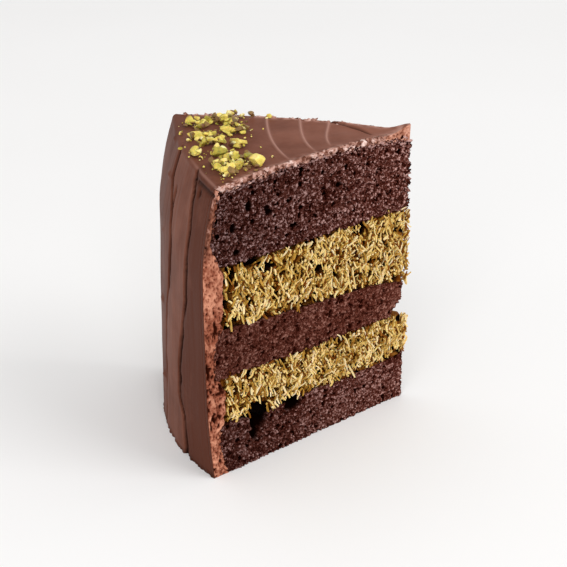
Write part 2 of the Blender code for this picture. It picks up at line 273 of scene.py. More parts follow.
for name, spot, size, watts in LIGHTS:
    lamp = bpy.data.lights.new(name, "AREA")
    lamp.size = size
    lamp.energy = watts
    lit = link_object(name, lamp)
    lit.location = spot
    lit.rotation_euler = (LIGHT_AIM - Vector(spot)).to_track_quat("-Z", "Y").to_euler()


def mesh_object(name, corners, faces):
    mesh = bpy.data.meshes.new(name)
    mesh.from_pydata(corners, [], faces)
    return link_object(name, mesh)


around = ((-1, -1), (1, -1), (1, 1), (-1, 1))
floor = mesh_object("floor", [(x * FLOOR_HALF, y * FLOOR_HALF, 0) for x, y in around], [(0, 1, 2, 3)])

# %% [markdown]
# ## Finishes
#
# Each finish is a small tree of shader nodes, and the Geometry Nodes further down are trees
# too. One class keeps both readable: each of its methods adds one kind of node, connects it
# and gives back its output. A finish is such a tree with a shader at its end. Patterns read
# object coordinates, so they stay still as the cake is viewed from other sides.

# %% Helper: a tree of nodes


class Tree:
    """A node tree, with a short way to add each kind of node."""

    def __init__(self, nodes):
        self.nodes = nodes

    def node(self, kind, inputs=(), **settings):
        """Add a node and give its outputs. Each input is a value or another node's output."""
        made = self.nodes.nodes.new(kind)
        for name, value in settings.items():
            setattr(made, name, value)
        for key, value in dict(inputs).items():
            if isinstance(value, bpy.types.NodeSocket):
                self.nodes.links.new(value, made.inputs[key])
            else:
                made.inputs[key].default_value = value
        return made.outputs

    def math(self, operation, *values):
        return self.node("ShaderNodeMath", enumerate(values), operation=operation)[0]

    def minus(self, first, second):
        return self.math("SUBTRACT", first, second)

    def times(self, first, second):
        return self.math("MULTIPLY", first, second)

    def weighted(self, *parts):
        """The sum of several values, each times its own weight."""
        total = 0.0
        for value, weight in parts:
            total = self.math("ADD", total, self.times(value, weight))
        return total

    def vector(self, operation, *values):
        return self.node("ShaderNodeVectorMath", enumerate(values), operation=operation)[0]

    def xyz(self, **parts):
        return self.node("ShaderNodeCombineXYZ", parts)[0]

    def noise(self, where, bumps_per_metre, detail=3.0, rough=0.6, output="Fac"):
        return self.node("ShaderNodeTexNoise", {
            "Vector": where, "Scale": bumps_per_metre, "Detail": detail, "Roughness": rough,
        })[output]

    def cells(self, where, cells_per_metre):
        return self.node("ShaderNodeTexVoronoi", {"Vector": where, "Scale": cells_per_metre})


# %% Helper: a finish


class Finish(Tree):
    """A material's tree, whose shader has its fixed values set on its own sockets."""

    def __init__(self, name, roughness, specular, soft=0.0, soft_depth=0.0):
        self.material = bpy.data.materials.new(name)
        self.material.use_nodes = True
        super().__init__(self.material.node_tree)
        self.inputs = self.nodes.nodes["Principled BSDF"].inputs
        self.inputs["Roughness"].default_value = roughness
        self.inputs["Specular IOR Level"].default_value = specular
        if soft:
            self.inputs["Subsurface Weight"].default_value = soft
            self.inputs["Subsurface Scale"].default_value = soft_depth
        self.where = self.node("ShaderNodeTexCoord")["Object"]

    def attribute(self, name):
        return self.node("ShaderNodeAttribute", attribute_name=name)["Fac"]

    def ramp(self, value, stops, colours):
        """Colours along a value, one at each stop."""
        made = self.node("ShaderNodeValToRGB", {"Fac": value})["Color"]
        elements = made.node.color_ramp.elements
        while len(elements) < len(stops):
            elements.new(0.5)
        for element, stop, colour in zip(elements, stops, colours):
            element.position = stop
            element.color = (*colour, 1)
        return made

    def mix(self, factor, first, second, blend="MIX"):
        first, second = ((*end, 1) if isinstance(end, tuple) else end for end in (first, second))
        inputs = {0: factor, 6: first, 7: second}
        return self.node("ShaderNodeMix", inputs, data_type="RGBA", blend_type=blend)[2]

    def done(self, colour, height=None, strength=0.0, distance=0.0):
        """Connect the colour and the bump, and give the material."""
        self.nodes.links.new(colour, self.inputs["Base Color"])
        if height is not None:
            bump = self.node("ShaderNodeBump", {"Height": height, "Strength": strength, "Distance": distance})
            self.nodes.links.new(bump["Normal"], self.inputs["Normal"])
        return self.material


# %% The floor's finish
FLOOR_TONES = ((0.885, 0.88, 0.875), (0.905, 0.90, 0.897))

surface = Finish("white surface", 0.6, 0.3)
shade = surface.noise(surface.where, 3.0, 2.0)
floor.data.materials.append(surface.done(surface.ramp(shade, (0.3, 0.7), FLOOR_TONES)))

# %% The sponge's finish
# From the pits to the crests of the crumb: the pit colours are painted shade and the crest colours painted
# highlights
CRUMB_STOPS = (0.53, 0.67, 0.81, 0.97)
DRY_CRUMB = ((0.0025, 0.0004, 0.0002), (0.028, 0.0044, 0.0025), (0.112, 0.031, 0.021), (0.52, 0.305, 0.272))
MOIST_CRUMB = ((0.015, 0.0020, 0.0009), (0.047, 0.0090, 0.0050), (0.120, 0.034, 0.022), (0.32, 0.150, 0.115))
FAR_SHADE = (0.52, 0.57, 0.62)


def sponge_finish():
    """Crumb: painted shade darkens the pits and painted highlights make the crests paler, as the
    stored relief says. The middle layer is moister, the hollows of the cut get the pit colour
    as painted shade, and all layers lose brightness towards the outer wall."""
    tree = Finish("chocolate sponge", 0.55, 0.0)
    grain = tree.noise(tree.where, 1900, 2.0, 0.7)
    patch = tree.noise(tree.where, 60, 2.0)
    mixed = tree.weighted((tree.attribute("relief"), 0.68), (grain, 0.55), (patch, 0.14))
    dry = tree.ramp(mixed, CRUMB_STOPS, DRY_CRUMB)
    colour = tree.mix(tree.attribute("moist"), dry, tree.ramp(mixed, CRUMB_STOPS, MOIST_CRUMB))
    colour = tree.mix(tree.attribute("outwards"), colour, FAR_SHADE, "MULTIPLY")
    # Painted shade: the hollows take the darkest pit colour.
    colour = tree.mix(tree.attribute("hollow"), colour, DRY_CRUMB[0])
    return tree.done(colour, grain, 0.6, 0.0006)


sponge_material = sponge_finish()

# %% The pastry's finish
# From the shaded shreds to the palest, and from black painted shade in the depth to glints of cream
SHRED_TONES = ((0.17, 0.048, 0.003), (0.44, 0.250, 0.040), (0.80, 0.570, 0.205), (0.83, 0.67, 0.42))
CREAM_SHADE = (0.0025, 0.0006, 0.0003)
CREAM_TONES = ((0.125, 0.031, 0.002), (0.24, 0.095, 0.015))


def shred_finish():
    """Toasted pastry coated in pistachio cream: every shred has its own tone, lowered by painted shade where
    a shred is set deep.
    """
    tree = Finish("pastry shreds", 0.5, 0.06, 0.12, 0.0015)
    mixed = tree.weighted((tree.attribute("tone"), 0.75), (tree.noise(tree.where, 350, 2.0), 0.35))
    colour = tree.ramp(mixed, (0.10, 0.32, 0.60, 0.98), SHRED_TONES)
    return tree.done(colour, tree.noise(tree.where, 1800, 2.0), 0.35, 0.0003)


def cream_finish():
    """The depth between the shreds, with glints of pistachio cream, painted black as shade in the hollows."""
    tree = Finish("pistachio cream", 0.5, 0.02)
    patch = tree.noise(tree.where, 420, 3.0)
    colour = tree.mix(tree.attribute("full"), CREAM_SHADE, tree.ramp(patch, (0.40, 0.66), CREAM_TONES))
    return tree.done(colour, patch, 0.7, 0.0012)


shred_material = shred_finish()
cream_material = cream_finish()

# %% The frosting's finishes
# Painted light in these colours: the crease colour is painted shade for creases, pits and the fold, the ridge
# colour a painted highlight for thin ridges, the rim and smeared edges, the torn tones start from painted
# shade for the pits, and the wet colour is a painted highlight on torn frosting.
SPREAD_TONES = ((0.094, 0.028, 0.0155), (0.148, 0.052, 0.032), (0.225, 0.088, 0.058))
RIDGE_HIGHLIGHT = (0.44, 0.235, 0.185)
CREASE_SHADE = (0.010, 0.003, 0.002)
TORN_TONES = ((0.032, 0.0050, 0.0018), (0.235, 0.068, 0.037), (0.58, 0.255, 0.160))
WET_HIGHLIGHT = (0.82, 0.62, 0.56)
SMEAR_TONES = (CREASE_SHADE, SPREAD_TONES[1], RIDGE_HIGHLIGHT, WET_HIGHLIGHT)


def spread_finish():
    """Frosting smoothed with a spatula: satin and slightly mottled. Attributes of the mesh paint
    shade into the creases, pits and fold, paint highlights on the thin ridges, the rim and the
    smeared edges of the top, and paint the wall's panels lit and shaded."""
    tree = Finish("spread frosting", 0.45, 0.025)
    patch = tree.minus(tree.noise(tree.where, 70, 4.0), 0.5)
    mixed = tree.math("ADD", patch, tree.attribute("panel"))
    colour = tree.ramp(mixed, (0.15, 0.50, 0.95), SPREAD_TONES)
    colour = tree.mix(tree.attribute("edge"), colour, RIDGE_HIGHLIGHT)
    colour = tree.mix(tree.attribute("crease_shade"), colour, CREASE_SHADE)
    return tree.done(colour, tree.noise(tree.where, 900, 3.0), 0.15, 0.0003)


def torn_finish():
    """Frosting where the knife went through: paler, redder and full of air holes. Holes and pits
    are painted dark as shade, and the smeared edge of the top gets painted highlights.
    """
    tree = Finish("cut frosting", 0.5, 0.01)
    # Painted shade: the air holes are dark spots of colour only.
    holes = tree.minus(tree.cells(tree.where, 700)["Distance"], 0.45)
    patch = tree.noise(tree.where, 300, 4.0, 0.65)
    mixed = tree.weighted((patch, 0.45), (tree.attribute("relief"), 0.55), (holes, 0.22))
    torn = tree.ramp(mixed, (0.24, 0.46, 0.74), TORN_TONES)
    smeared = tree.ramp(mixed, (0.30, 0.60, 0.76, 0.98), SMEAR_TONES)
    return tree.done(tree.mix(tree.attribute("smear"), torn, smeared), mixed, 0.6, 0.0008)


spread_material = spread_finish()
torn_material = torn_finish()

# %% The pistachios' finish
NUT_SKIN_AND_SHADE = (0.15, 0.062, 0.028)
NUT_TONES = ((0.20, 0.172, 0.023), (0.51, 0.415, 0.057), (0.87, 0.680, 0.155), (0.95, 0.85, 0.45))


def nut_finish():
    """Kernels are green outside, yellow within, with scraps of thin brown skin that also stand in
    for painted shade on their lower sides and between the pieces.
    """
    tree = Finish("pistachio", 0.45, 0.25, 0.15, 0.002)
    mixed = tree.weighted((tree.attribute("tone"), 0.50), (tree.noise(tree.where, 340, 3.0), 0.7))
    colour = tree.ramp(mixed, (0.22, 0.46, 0.70, 0.92), NUT_TONES)
    colour = tree.mix(tree.attribute("skin"), colour, NUT_SKIN_AND_SHADE)
    return tree.done(colour, tree.noise(tree.where, 1100, 3.0), 0.6, 0.0006)


nut_material = nut_finish()
print(len(bpy.data.materials), "finishes so far")

# %% [markdown]
# ## A block whose skin is a fine grid
#
# Sponge, filling core and frosting are all bent boxes: across the slice, along it and
# upwards. Only the skin of such a box is seen, so the grid is made on its six sides alone,
# and the corners that two sides share are made once, which leaves the skin closed.

# %% Helper: a closed grid block


def quads_of(number):
    """The four corners of each square of a sheet of numbered points."""
    corners = number[:-1, :-1], number[1:, :-1], number[1:, 1:], number[:-1, 1:]
    return np.stack(corners, axis=-1).reshape(-1, 4)


def grid_block(name, across, along, upward, point):
    """A closed mesh. The three arrays hold steps, and point turns arrays of them into places.
    With the object come the grid numbers of each of its corners."""
    counts = (len(across), len(along), len(upward))
    grid = np.indices(counts).reshape(3, -1)
    last = np.array(counts)[:, None] - 1
    on_skin = ((grid == 0) | (grid == last)).any(axis=0)
    number = np.full(counts, -1)
    number.reshape(-1)[on_skin] = np.arange(on_skin.sum())
    grid = grid[:, on_skin]
    places = point(across[grid[0]], along[grid[1]], upward[grid[2]])

    faces = []
    for axis in range(3):
        for end in (0, counts[axis] - 1):
            quads = quads_of(np.take(number, end, axis=axis))
            flip = (end == 0) ^ (axis == 1)
            faces.append(quads[:, ::-1] if flip else quads)
    return mesh_object(name, places.tolist(), np.concatenate(faces).tolist()), grid


def face_outwards(thing):
    """Turn a closed mesh's faces outwards and shade it smooth."""
    shell = bmesh.new()
    shell.from_mesh(thing.data)
    if shell.calc_volume(signed=True) < 0:
        bmesh.ops.reverse_faces(shell, faces=shell.faces)
    shell.to_mesh(thing.data)
    shell.free()
    thing.data.shade_smooth()


def places_of(thing):
    return np.array([vert.co for vert in thing.data.vertices])


def put_back(thing, places):
    thing.data.vertices.foreach_set("co", places.reshape(-1))


def store(thing, values):
    """Keep named numbers for each corner of a mesh, for its finish to read."""
    for name, numbers in values.items():
        kept = thing.data.attributes.new(name, "FLOAT", "POINT")
        kept.data.foreach_set("value", np.asarray(numbers, dtype=np.float32))


def even_steps(count):
    return np.linspace(0, 1, count + 1)


def count_triangles(thing):
    return sum(len(face.vertices) - 2 for face in thing.data.polygons)


def hand_over(thing, node):
    """Put a finished piece on the root body, hide the solid that it replaces, and print its triangles."""
    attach(thing, "root")
    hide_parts(node)
    print(thing.name, count_triangles(thing), "triangles")


# %% [markdown]
# ## The sponge
#
# Cut sponge is a foam: rounded crumbs about a millimetre wide with dark holes between them.
# A bump map alone would leave the silhouette straight, so the crumbs are real relief. The
# grid on each cut is finer than a crumb, and a Geometry Nodes tree pushes its points out by
# a Voronoi pattern, whose cells are the crumbs, less a few larger cells that become holes.

# %% Helpers for trees that shape a mesh


def start_group(name, sizes, others):
    """A Geometry Nodes tree and its named inputs: sizes with their usual values, then others
    with their types."""
    group = bpy.data.node_groups.new(name, "GeometryNodeTree")
    face = group.interface
    face.new_socket("Geometry", in_out="INPUT", socket_type="NodeSocketGeometry")
    for label, value in sizes.items():
        face.new_socket(label, in_out="INPUT", socket_type="NodeSocketFloat").default_value = value
    for label, kind in others.items():
        face.new_socket(label, in_out="INPUT", socket_type="NodeSocket" + kind)
    face.new_socket("Geometry", in_out="OUTPUT", socket_type="NodeSocketGeometry")
    tree = Tree(group)
    return tree, tree.node("NodeGroupInput")


def end_group(tree, geometry, material):
    """The last two nodes of a tree: Set Material and the output."""
    dressed = tree.node("GeometryNodeSetMaterial", {"Geometry": geometry, "Material": material})
    tree.node("NodeGroupOutput", {0: dressed[0]})
    return tree.nodes


def apply_tree(thing, group, values):
    """Run a Geometry Nodes tree on an object and keep its result as a plain mesh."""
    modifier = thing.modifiers.new("shape", "NODES")
    modifier.node_group = group
    sockets = {item.name: item.identifier for item in group.interface.items_tree if item.in_out == "INPUT"}
    for name, value in values.items():
        modifier[sockets[name]] = value
    bpy.context.view_layer.update()
    graph = bpy.context.evaluated_depsgraph_get()
    shaped = thing.evaluated_get(graph)
    mesh = bpy.data.meshes.new_from_object(shaped, preserve_all_data_layers=True, depsgraph=graph)
    thing.modifiers.remove(modifier)
    thing.data = mesh


# %% A tree that raises crumbs
CRUMB_SIZES = {
    "Crumb Size": 0.86 * MM, "Crumb Depth": 0.75 * MM, "Hole Size": 2.6 * MM, "Hole Depth": 1.2 * MM,
    "Swell": 1.1 * MM, "Seed": 0.0,
}
CRUMB_WARP = (0.0012, 0.0012, 0.0012)


def crumb_tree():
    tree, given = start_group("crumb relief", CRUMB_SIZES, {"Finish": "Material"})
    where = tree.node("GeometryNodeInputPosition")[0]
    moved = tree.vector("ADD", where, tree.xyz(X=given["Seed"], Y=given["Seed"]))
    warp = tree.noise(moved, 400.0, 2.0, 0.5, "Color")
    warp = tree.vector("MULTIPLY_ADD", warp, CRUMB_WARP, moved)

    crumb = tree.cells(warp, tree.math("DIVIDE", 1.0, given["Crumb Size"]))
    dome = tree.minus(0.55, crumb["Distance"])
    lift = tree.node("ShaderNodeSeparateXYZ", {0: crumb["Color"]})["X"]
    lift = tree.times(tree.minus(lift, 0.5), 1.1)
    crumbs = tree.times(tree.math("ADD", dome, lift), given["Crumb Depth"])

    hole = tree.cells(moved, tree.math("DIVIDE", 1.0, given["Hole Size"]))
    pick = tree.node("ShaderNodeSeparateXYZ", {0: hole["Color"]})["Y"]
    reach = tree.minus(tree.times(pick, 0.62), hole["Distance"])
    deep = tree.times(tree.math("MAXIMUM", reach, 0.0), 2.4)
    holes = tree.times(tree.math("MINIMUM", deep, 1.0), given["Hole Depth"])
    swell = tree.times(tree.minus(tree.noise(moved, 130.0, 2.0, 0.5), 0.5), given["Swell"])

    relief = tree.minus(crumbs, holes)
    ways = tree.node("GeometryNodeInputNamedAttribute", {"Name": "out"}, data_type="FLOAT_VECTOR")[0]
    scaled = {0: ways, "Scale": tree.math("ADD", relief, swell)}
    push = tree.node("ShaderNodeVectorMath", scaled, operation="SCALE")[0]
    shaped = tree.node("GeometryNodeSetPosition", {"Geometry": given["Geometry"], "Offset": push})[0]
    # The stored relief becomes colour in the sponge's finish: painted shade in the pits and painted
    # highlights on the crests.
    shade = tree.math("MULTIPLY_ADD", tree.math("DIVIDE", relief, given["Crumb Depth"]), 0.42, 0.62)
    kept = tree.node("GeometryNodeStoreNamedAttribute", {
        "Geometry": shaped, "Name": "relief", "Value": shade,
    }, data_type="FLOAT", domain="POINT")[0]
    return end_group(tree, kept, given["Finish"])


CRUMBS = crumb_tree()
print("the crumb tree has", len(CRUMBS.nodes), "nodes")

# %% [markdown]
# The crumb tree needs to know which way each point may move. A vector attribute named out
# holds that: straight out of the cut on the two cut faces, a little up or down along their
# edges, and nothing inside the cake. Sponge and filling are both layers between two levels,
# so they share the code that makes such a layer.

# %% Make a layer
SEAM = 0.7 * MM
MIDWAY = 50 * MM
ACROSS_LAYER = np.array([-1, -0.96, -0.85, -0.6, -0.3, 0, 0.3, 0.6, 0.85, 0.96, 1.0])
FAR_COLUMN = len(ACROSS_LAYER) - 1
BEHIND_CUT = 2


def layer_point(floor, roof, tip):
    """The places of a layer between two levels, from its tip to the coat."""

    def height_at(out, part_up):
        return level(floor, out) * (1 - part_up) + level(roof, out) * part_up

    def point(side, part_along, part_up):
        turn = turn_of(side)
        height = height_at(MIDWAY, part_up)
        for _ in range(2):
            start = tip(height)
            reach = (coat_radius(turn, height) + SEAM) * np.cos(turn)
            along = start + (reach - start) * part_along
            height = height_at(along / np.cos(turn), part_up)
        return place(side, along, height)

    return point


def cut_directions(grid, top_row, edge_lift):
    """Which way each point of a layer may move: out of a cut, and up or down at its edges."""
    i, j, k = grid
    ways = np.zeros((grid.shape[1], 3))
    ways[i == 0] = OUT_OF_CUT[-1]
    ways[i == FAR_COLUMN] = OUT_OF_CUT[1]
    on_cut = (i == 0) | (i == FAR_COLUMN)
    ways[on_cut & (k == 0), 2] -= edge_lift
    ways[on_cut & (k == top_row), 2] += edge_lift
    ways[(j == 0) & ~on_cut] = (1, 0, 0)
    return ways


def make_layer(name, floor, roof, tip, step, length, edge_lift):
    """A layer as an object, with its corners' grid numbers, ways to move and places."""
    tall = float(level(roof, MIDWAY) - level(floor, MIDWAY))
    rows = round(tall / step)
    along = even_steps(round(length / step))
    thing, grid = grid_block(name, ACROSS_LAYER, along, even_steps(rows), layer_point(floor, roof, tip))
    return thing, grid, cut_directions(grid, rows, edge_lift), places_of(thing)


# %% Make the sponge
SPONGE_STEP = 0.33 * MM
EDGE_LIFT = 0.35
# Hollows of the near cut: distance from the tip, height, the two radii and depth, in millimetres
BOTTOM_HOLLOWS = ((80.5, 18.8, 4.6, 5.2, 4.0), (82.4, 13.5, 1.9, 4.2, 3.0), (62.5, 18.2, 4.6, 2.6, 3.0))
TOP_HOLLOWS = (
    (83.5, 109.5, 1.5, 2.2, 1.2), (74, 104.5, 1.8, 1.4, 1.0), (91.0, 102.5, 1.4, 2.0, 1.0),
    (89.5, 92.5, 1.5, 1.3, 0.9), (38.5, 106.5, 1.6, 1.2, 0.9), (61, 96, 1.2, 1.0, 0.8),
)


def blunt_tip(height):
    return 0.8 * MM + 0 * height


def broken_tip(height):
    """The middle layer's tip is broken away at its foot."""
    return 2 * MM + 5 * MM * np.clip((47 * MM - height) / (6 * MM), 0, 1)


def make_sponge(node, floor, roof, tip, seed, moist, hollows=()):
    name = node + "_crumb"
    thing, grid, ways, places = make_layer(name, floor, roof, tip, SPONGE_STEP, 100 * MM, EDGE_LIFT)
    distance = distance_of(places)
    sunk = np.zeros(len(places))
    for out, *spot, depth in hollows:
        far = radii_from(distance, places[:, 2], out * MM, spot)
        sink = np.clip(1.6 * (1 - far**2), 0, 1) * (grid[0] == 0)
        places -= OUT_OF_CUT[-1] * (depth * MM * sink)[:, None]
        # Besides sinking them, a mask paints the hollows and their rims with the pit colour, as painted
        # shade.
        sunk = np.maximum(sunk, np.clip(3.5 * (1.12 - far), 0, 1) * (grid[0] <= BEHIND_CUT))
    if floor == "underside":
        ways[grid[2] == 0, 2] = 0
    put_back(thing, places)
    outwards = np.clip(distance / (100 * MM), 0, 1) * (1 - 0.45 * moist)
    store(thing, {"hollow": sunk, "outwards": outwards, "moist": np.full(len(places), moist)})
    kept = thing.data.attributes.new("out", "FLOAT_VECTOR", "POINT")
    kept.data.foreach_set("vector", ways.reshape(-1).astype(np.float32))
    apply_tree(thing, CRUMBS, {"Seed": float(seed), "Finish": sponge_material})
    thing.data.attributes.remove(thing.data.attributes["out"])
    face_outwards(thing)
    hand_over(thing, node)


make_sponge("sponge_bottom", "underside", "lower_filling_floor", blunt_tip, 1, 0.3, BOTTOM_HOLLOWS)
make_sponge("sponge_middle", "lower_filling_roof", "upper_filling_floor", broken_tip, 2, 1.0)
make_sponge("sponge_top", "upper_filling_roof", "top_of_sponge", blunt_tip, 3, 0.0, TOP_HOLLOWS)

# %% [markdown]
# ## The fillings
#
# Each filling is a tangle of fine toasted pastry threads in pistachio cream, cut across by
# the knife. It is made in two pieces: a dark lumpy core set back from the cuts, and some
# thousands of short bent shreds standing out of it. The shreds are scattered with Geometry
# Nodes: points on a flat patch, one of a few bent strips on every point, and a turn for each
# that mostly stands up but leans with its neighbours.

# %% Where a filling is open
# Dark hollows of the near cut: distance from the tip, height and the two radii, in millimetres
HOLLOWS = (
    (82.5, 86, 3.6, 2.4), (74, 83, 3.0, 1.8), (60, 74.5, 2.6, 1.6), (38, 67, 2.6, 1.6), (54, 61.5, 3.0, 1.7),
    (69, 63.5, 2.6, 1.4), (26, 64.5, 3.2, 1.6), (24, 84, 5.0, 1.8), (67, 76, 2.2, 1.6), (48, 73, 2.4, 1.5),
    (93.0, 76.0, 1.6, 9.0), (91.5, 63.0, 2.4, 2.4), (91.0, 36.0, 1.6, 4.0),
    (80.5, 21.0, 5.8, 6.5), (62.5, 18.6, 5.8, 3.6), (73.3, 26.4, 2.8, 2.4), (83.0, 37.6, 2.6, 2.0),
    (45, 25, 2.6, 1.6), (33, 24, 2.2, 1.3),
)


def fullness(side, out, height):
    """How full a filling is near each point of a cut, from 0 inside one of the hollows to 1. It
    thins the shreds, and where it is low the core is painted black as shade.
    """
    spots = np.stack([out, height, 40 * MM * side + 0 * out], axis=-1)
    rough = waves(spots, 1, (1, 3.4, 34), (0.6, 1.7, 35))
    thinner = 0.14 * (out > 70 * MM) * (height > 50 * MM)
    full = np.clip(0.90 - thinner + 1.7 * rough, 0.0, 1)
    if side < 0:
        for hollow_out, *spot in HOLLOWS:
            full = full * np.clip((radii_from(out, height, hollow_out * MM, spot) - 0.75) * 2.2, 0, 1)
    return full


# %% The core of a filling
CORE_STEP = 0.62 * MM
CORE_SET_BACK = 2.3 * MM
CORE_RELIEF = 1.0 * MM
HOLLOW_DEPTH = 4.5 * MM
# Each filling's node, floor, roof and seed. The lower filling is a little paler, so the last
# number is added to the painted shade that dims its deep shreds.
FILLINGS = (
    ("filling_lower", "lower_filling_floor", "lower_filling_roof", 31, -0.22),
    ("filling_upper", "upper_filling_floor", "upper_filling_roof", 32, 0.0),
)


def core_tip(height):
    return 2.4 * MM + 0 * height


def make_core(node, floor, roof, seed):
    name = node + "_cream"
    thing, grid, ways, places = make_layer(name, floor, roof, core_tip, CORE_STEP, 94 * MM, 0.0)
    distance = distance_of(places)
    lumps = waves(places, CORE_RELIEF, (1, 2.6, seed), (0.7, 1.1, seed + 1))
    shallow = np.clip((distance - 2 * MM) / (9 * MM), 0.1, 1)
    sink = np.zeros(len(places))
    full = np.ones(len(places))
    near_columns = grid[0] <= BEHIND_CUT
    for here, side in ((near_columns, -1), (grid[0] == FAR_COLUMN, 1)):
        full[here] = fullness(side, distance[here], places[here, 2])
    on_cut = (grid[0] == 0) | (grid[0] == FAR_COLUMN)
    sink[on_cut] = CORE_SET_BACK + HOLLOW_DEPTH * (1 - full[on_cut])
    put_back(thing, places + ways * ((lumps - sink) * shallow)[:, None])
    # Painted shade: the core is painted black in the hollows and along their rims.
    store(thing, {"full": np.clip(1 - 2.2 * (1 - full), 0, 1)})
    thing.data.materials.append(cream_material)
    face_outwards(thing)
    hand_over(thing, node)


for node_name, floor_level, roof_level, seed, _ in FILLINGS:
    make_core(node_name, floor_level, roof_level, seed)

# %% [markdown]
# Three kinds of shape make the tangle look chopped rather than combed: a few long threads,
# many short ends, and nubs of pastry crumb and cream. Every thread is a bent strip with four
# sides, so thousands of them stay light.

# %% Shapes of shred and nub
SHRED_WIDTH = 0.74 * MM
SHRED_THICKNESS = 0.50 * MM
NUB_RADIUS = 0.56 * MM
STRIP_CORNERS = ((1, 1), (-1, 1), (-1, -1), (1, -1))


def thread_shape(name, rng, lengths, bends, curl):
    """One bent strip about its own middle, standing on end."""
    length = rng.uniform(*lengths) * MM
    bow = rng.uniform(-curl, curl) * length
    kink = rng.uniform(-curl, curl) * 0.4 * length
    twist = rng.uniform(-0.9, 0.9)
    thin = rng.uniform(0.75, 1.2)
    corners = []
    for step in range(bends + 1):
        part = step / bends
        curved = (bow * math.sin(math.pi * part), kink * math.sin(2 * math.pi * part))
        middle = Vector((*curved, (part - 0.5) * length))
        taper = thin * (0.75 + 0.25 * math.sin(math.pi * part))
        for across, through in STRIP_CORNERS:
            corner = Vector((across * SHRED_WIDTH / 2 * taper, through * SHRED_THICKNESS / 2 * taper, 0))
            corners.append(middle + Matrix.Rotation(twist * part, 3, "Z") @ corner)
    faces = []
    for first in range(0, 4 * bends, 4):
        for side in range(4):
            beside = (side + 1) % 4
            faces.append((first + side, first + beside, first + beside + 4, first + side + 4))
    faces += [(3, 2, 1, 0), tuple(range(4 * bends, 4 * bends + 4))]
    mesh = bpy.data.meshes.new(name)
    mesh.from_pydata([tuple(corner) for corner in corners], [], faces)
    return bpy.data.objects.new(name, mesh)


def nub_shape(name, rng):
    """A crumb of pastry and cream, about a millimetre wide."""
    shell = bmesh.new()
    bmesh.ops.create_icosphere(shell, subdivisions=1, radius=NUB_RADIUS)
    for vert in shell.verts:
        vert.co *= rng.uniform(0.65, 1.25)
    mesh = bpy.data.meshes.new(name)
    shell.to_mesh(mesh)
    shell.free()
    return bpy.data.objects.new(name, mesh)


def shape_set(name, count, make, *sizes):
    """Several shapes of one kind, in a collection for the scatter to choose from."""
    held = bpy.data.collections.new(name)
    for number in range(count):
        held.objects.link(make(f"{name} {number}", shape_rng, *sizes))
    return held


shape_rng = random.Random(41)
long_threads = shape_set("long threads", 5, thread_shape, (4.6, 8.4), 5, 0.16)
short_ends = shape_set("short ends", 6, thread_shape, (2.2, 4.8), 3, 0.22)
nubs = shape_set("nubs", 5, nub_shape)

# %% [markdown]
# The scatter works on a patch that lies flat in its own space: x runs out from the tip along
# the cut, z runs up, and -y points out of the cut. Working flat keeps the random turns easy
# to think about. Only afterwards is the result swung onto the near cut or the far one. The
# patch carries an attribute named full, which thins the shreds over the dark hollows.

# %% A tree that scatters shreds
SCATTER_SIZES = ("Per Square Metre", "Lean", "Clump Lean", "Stand Out", "Depth", "Darkest")
SCATTER_OTHERS = {"Seed": "Int", "Kinds": "Int", "Shapes": "Collection", "Finish": "Material"}
CLUMPS_PER_METRE = 170.0
FULL_TURN = 6.28


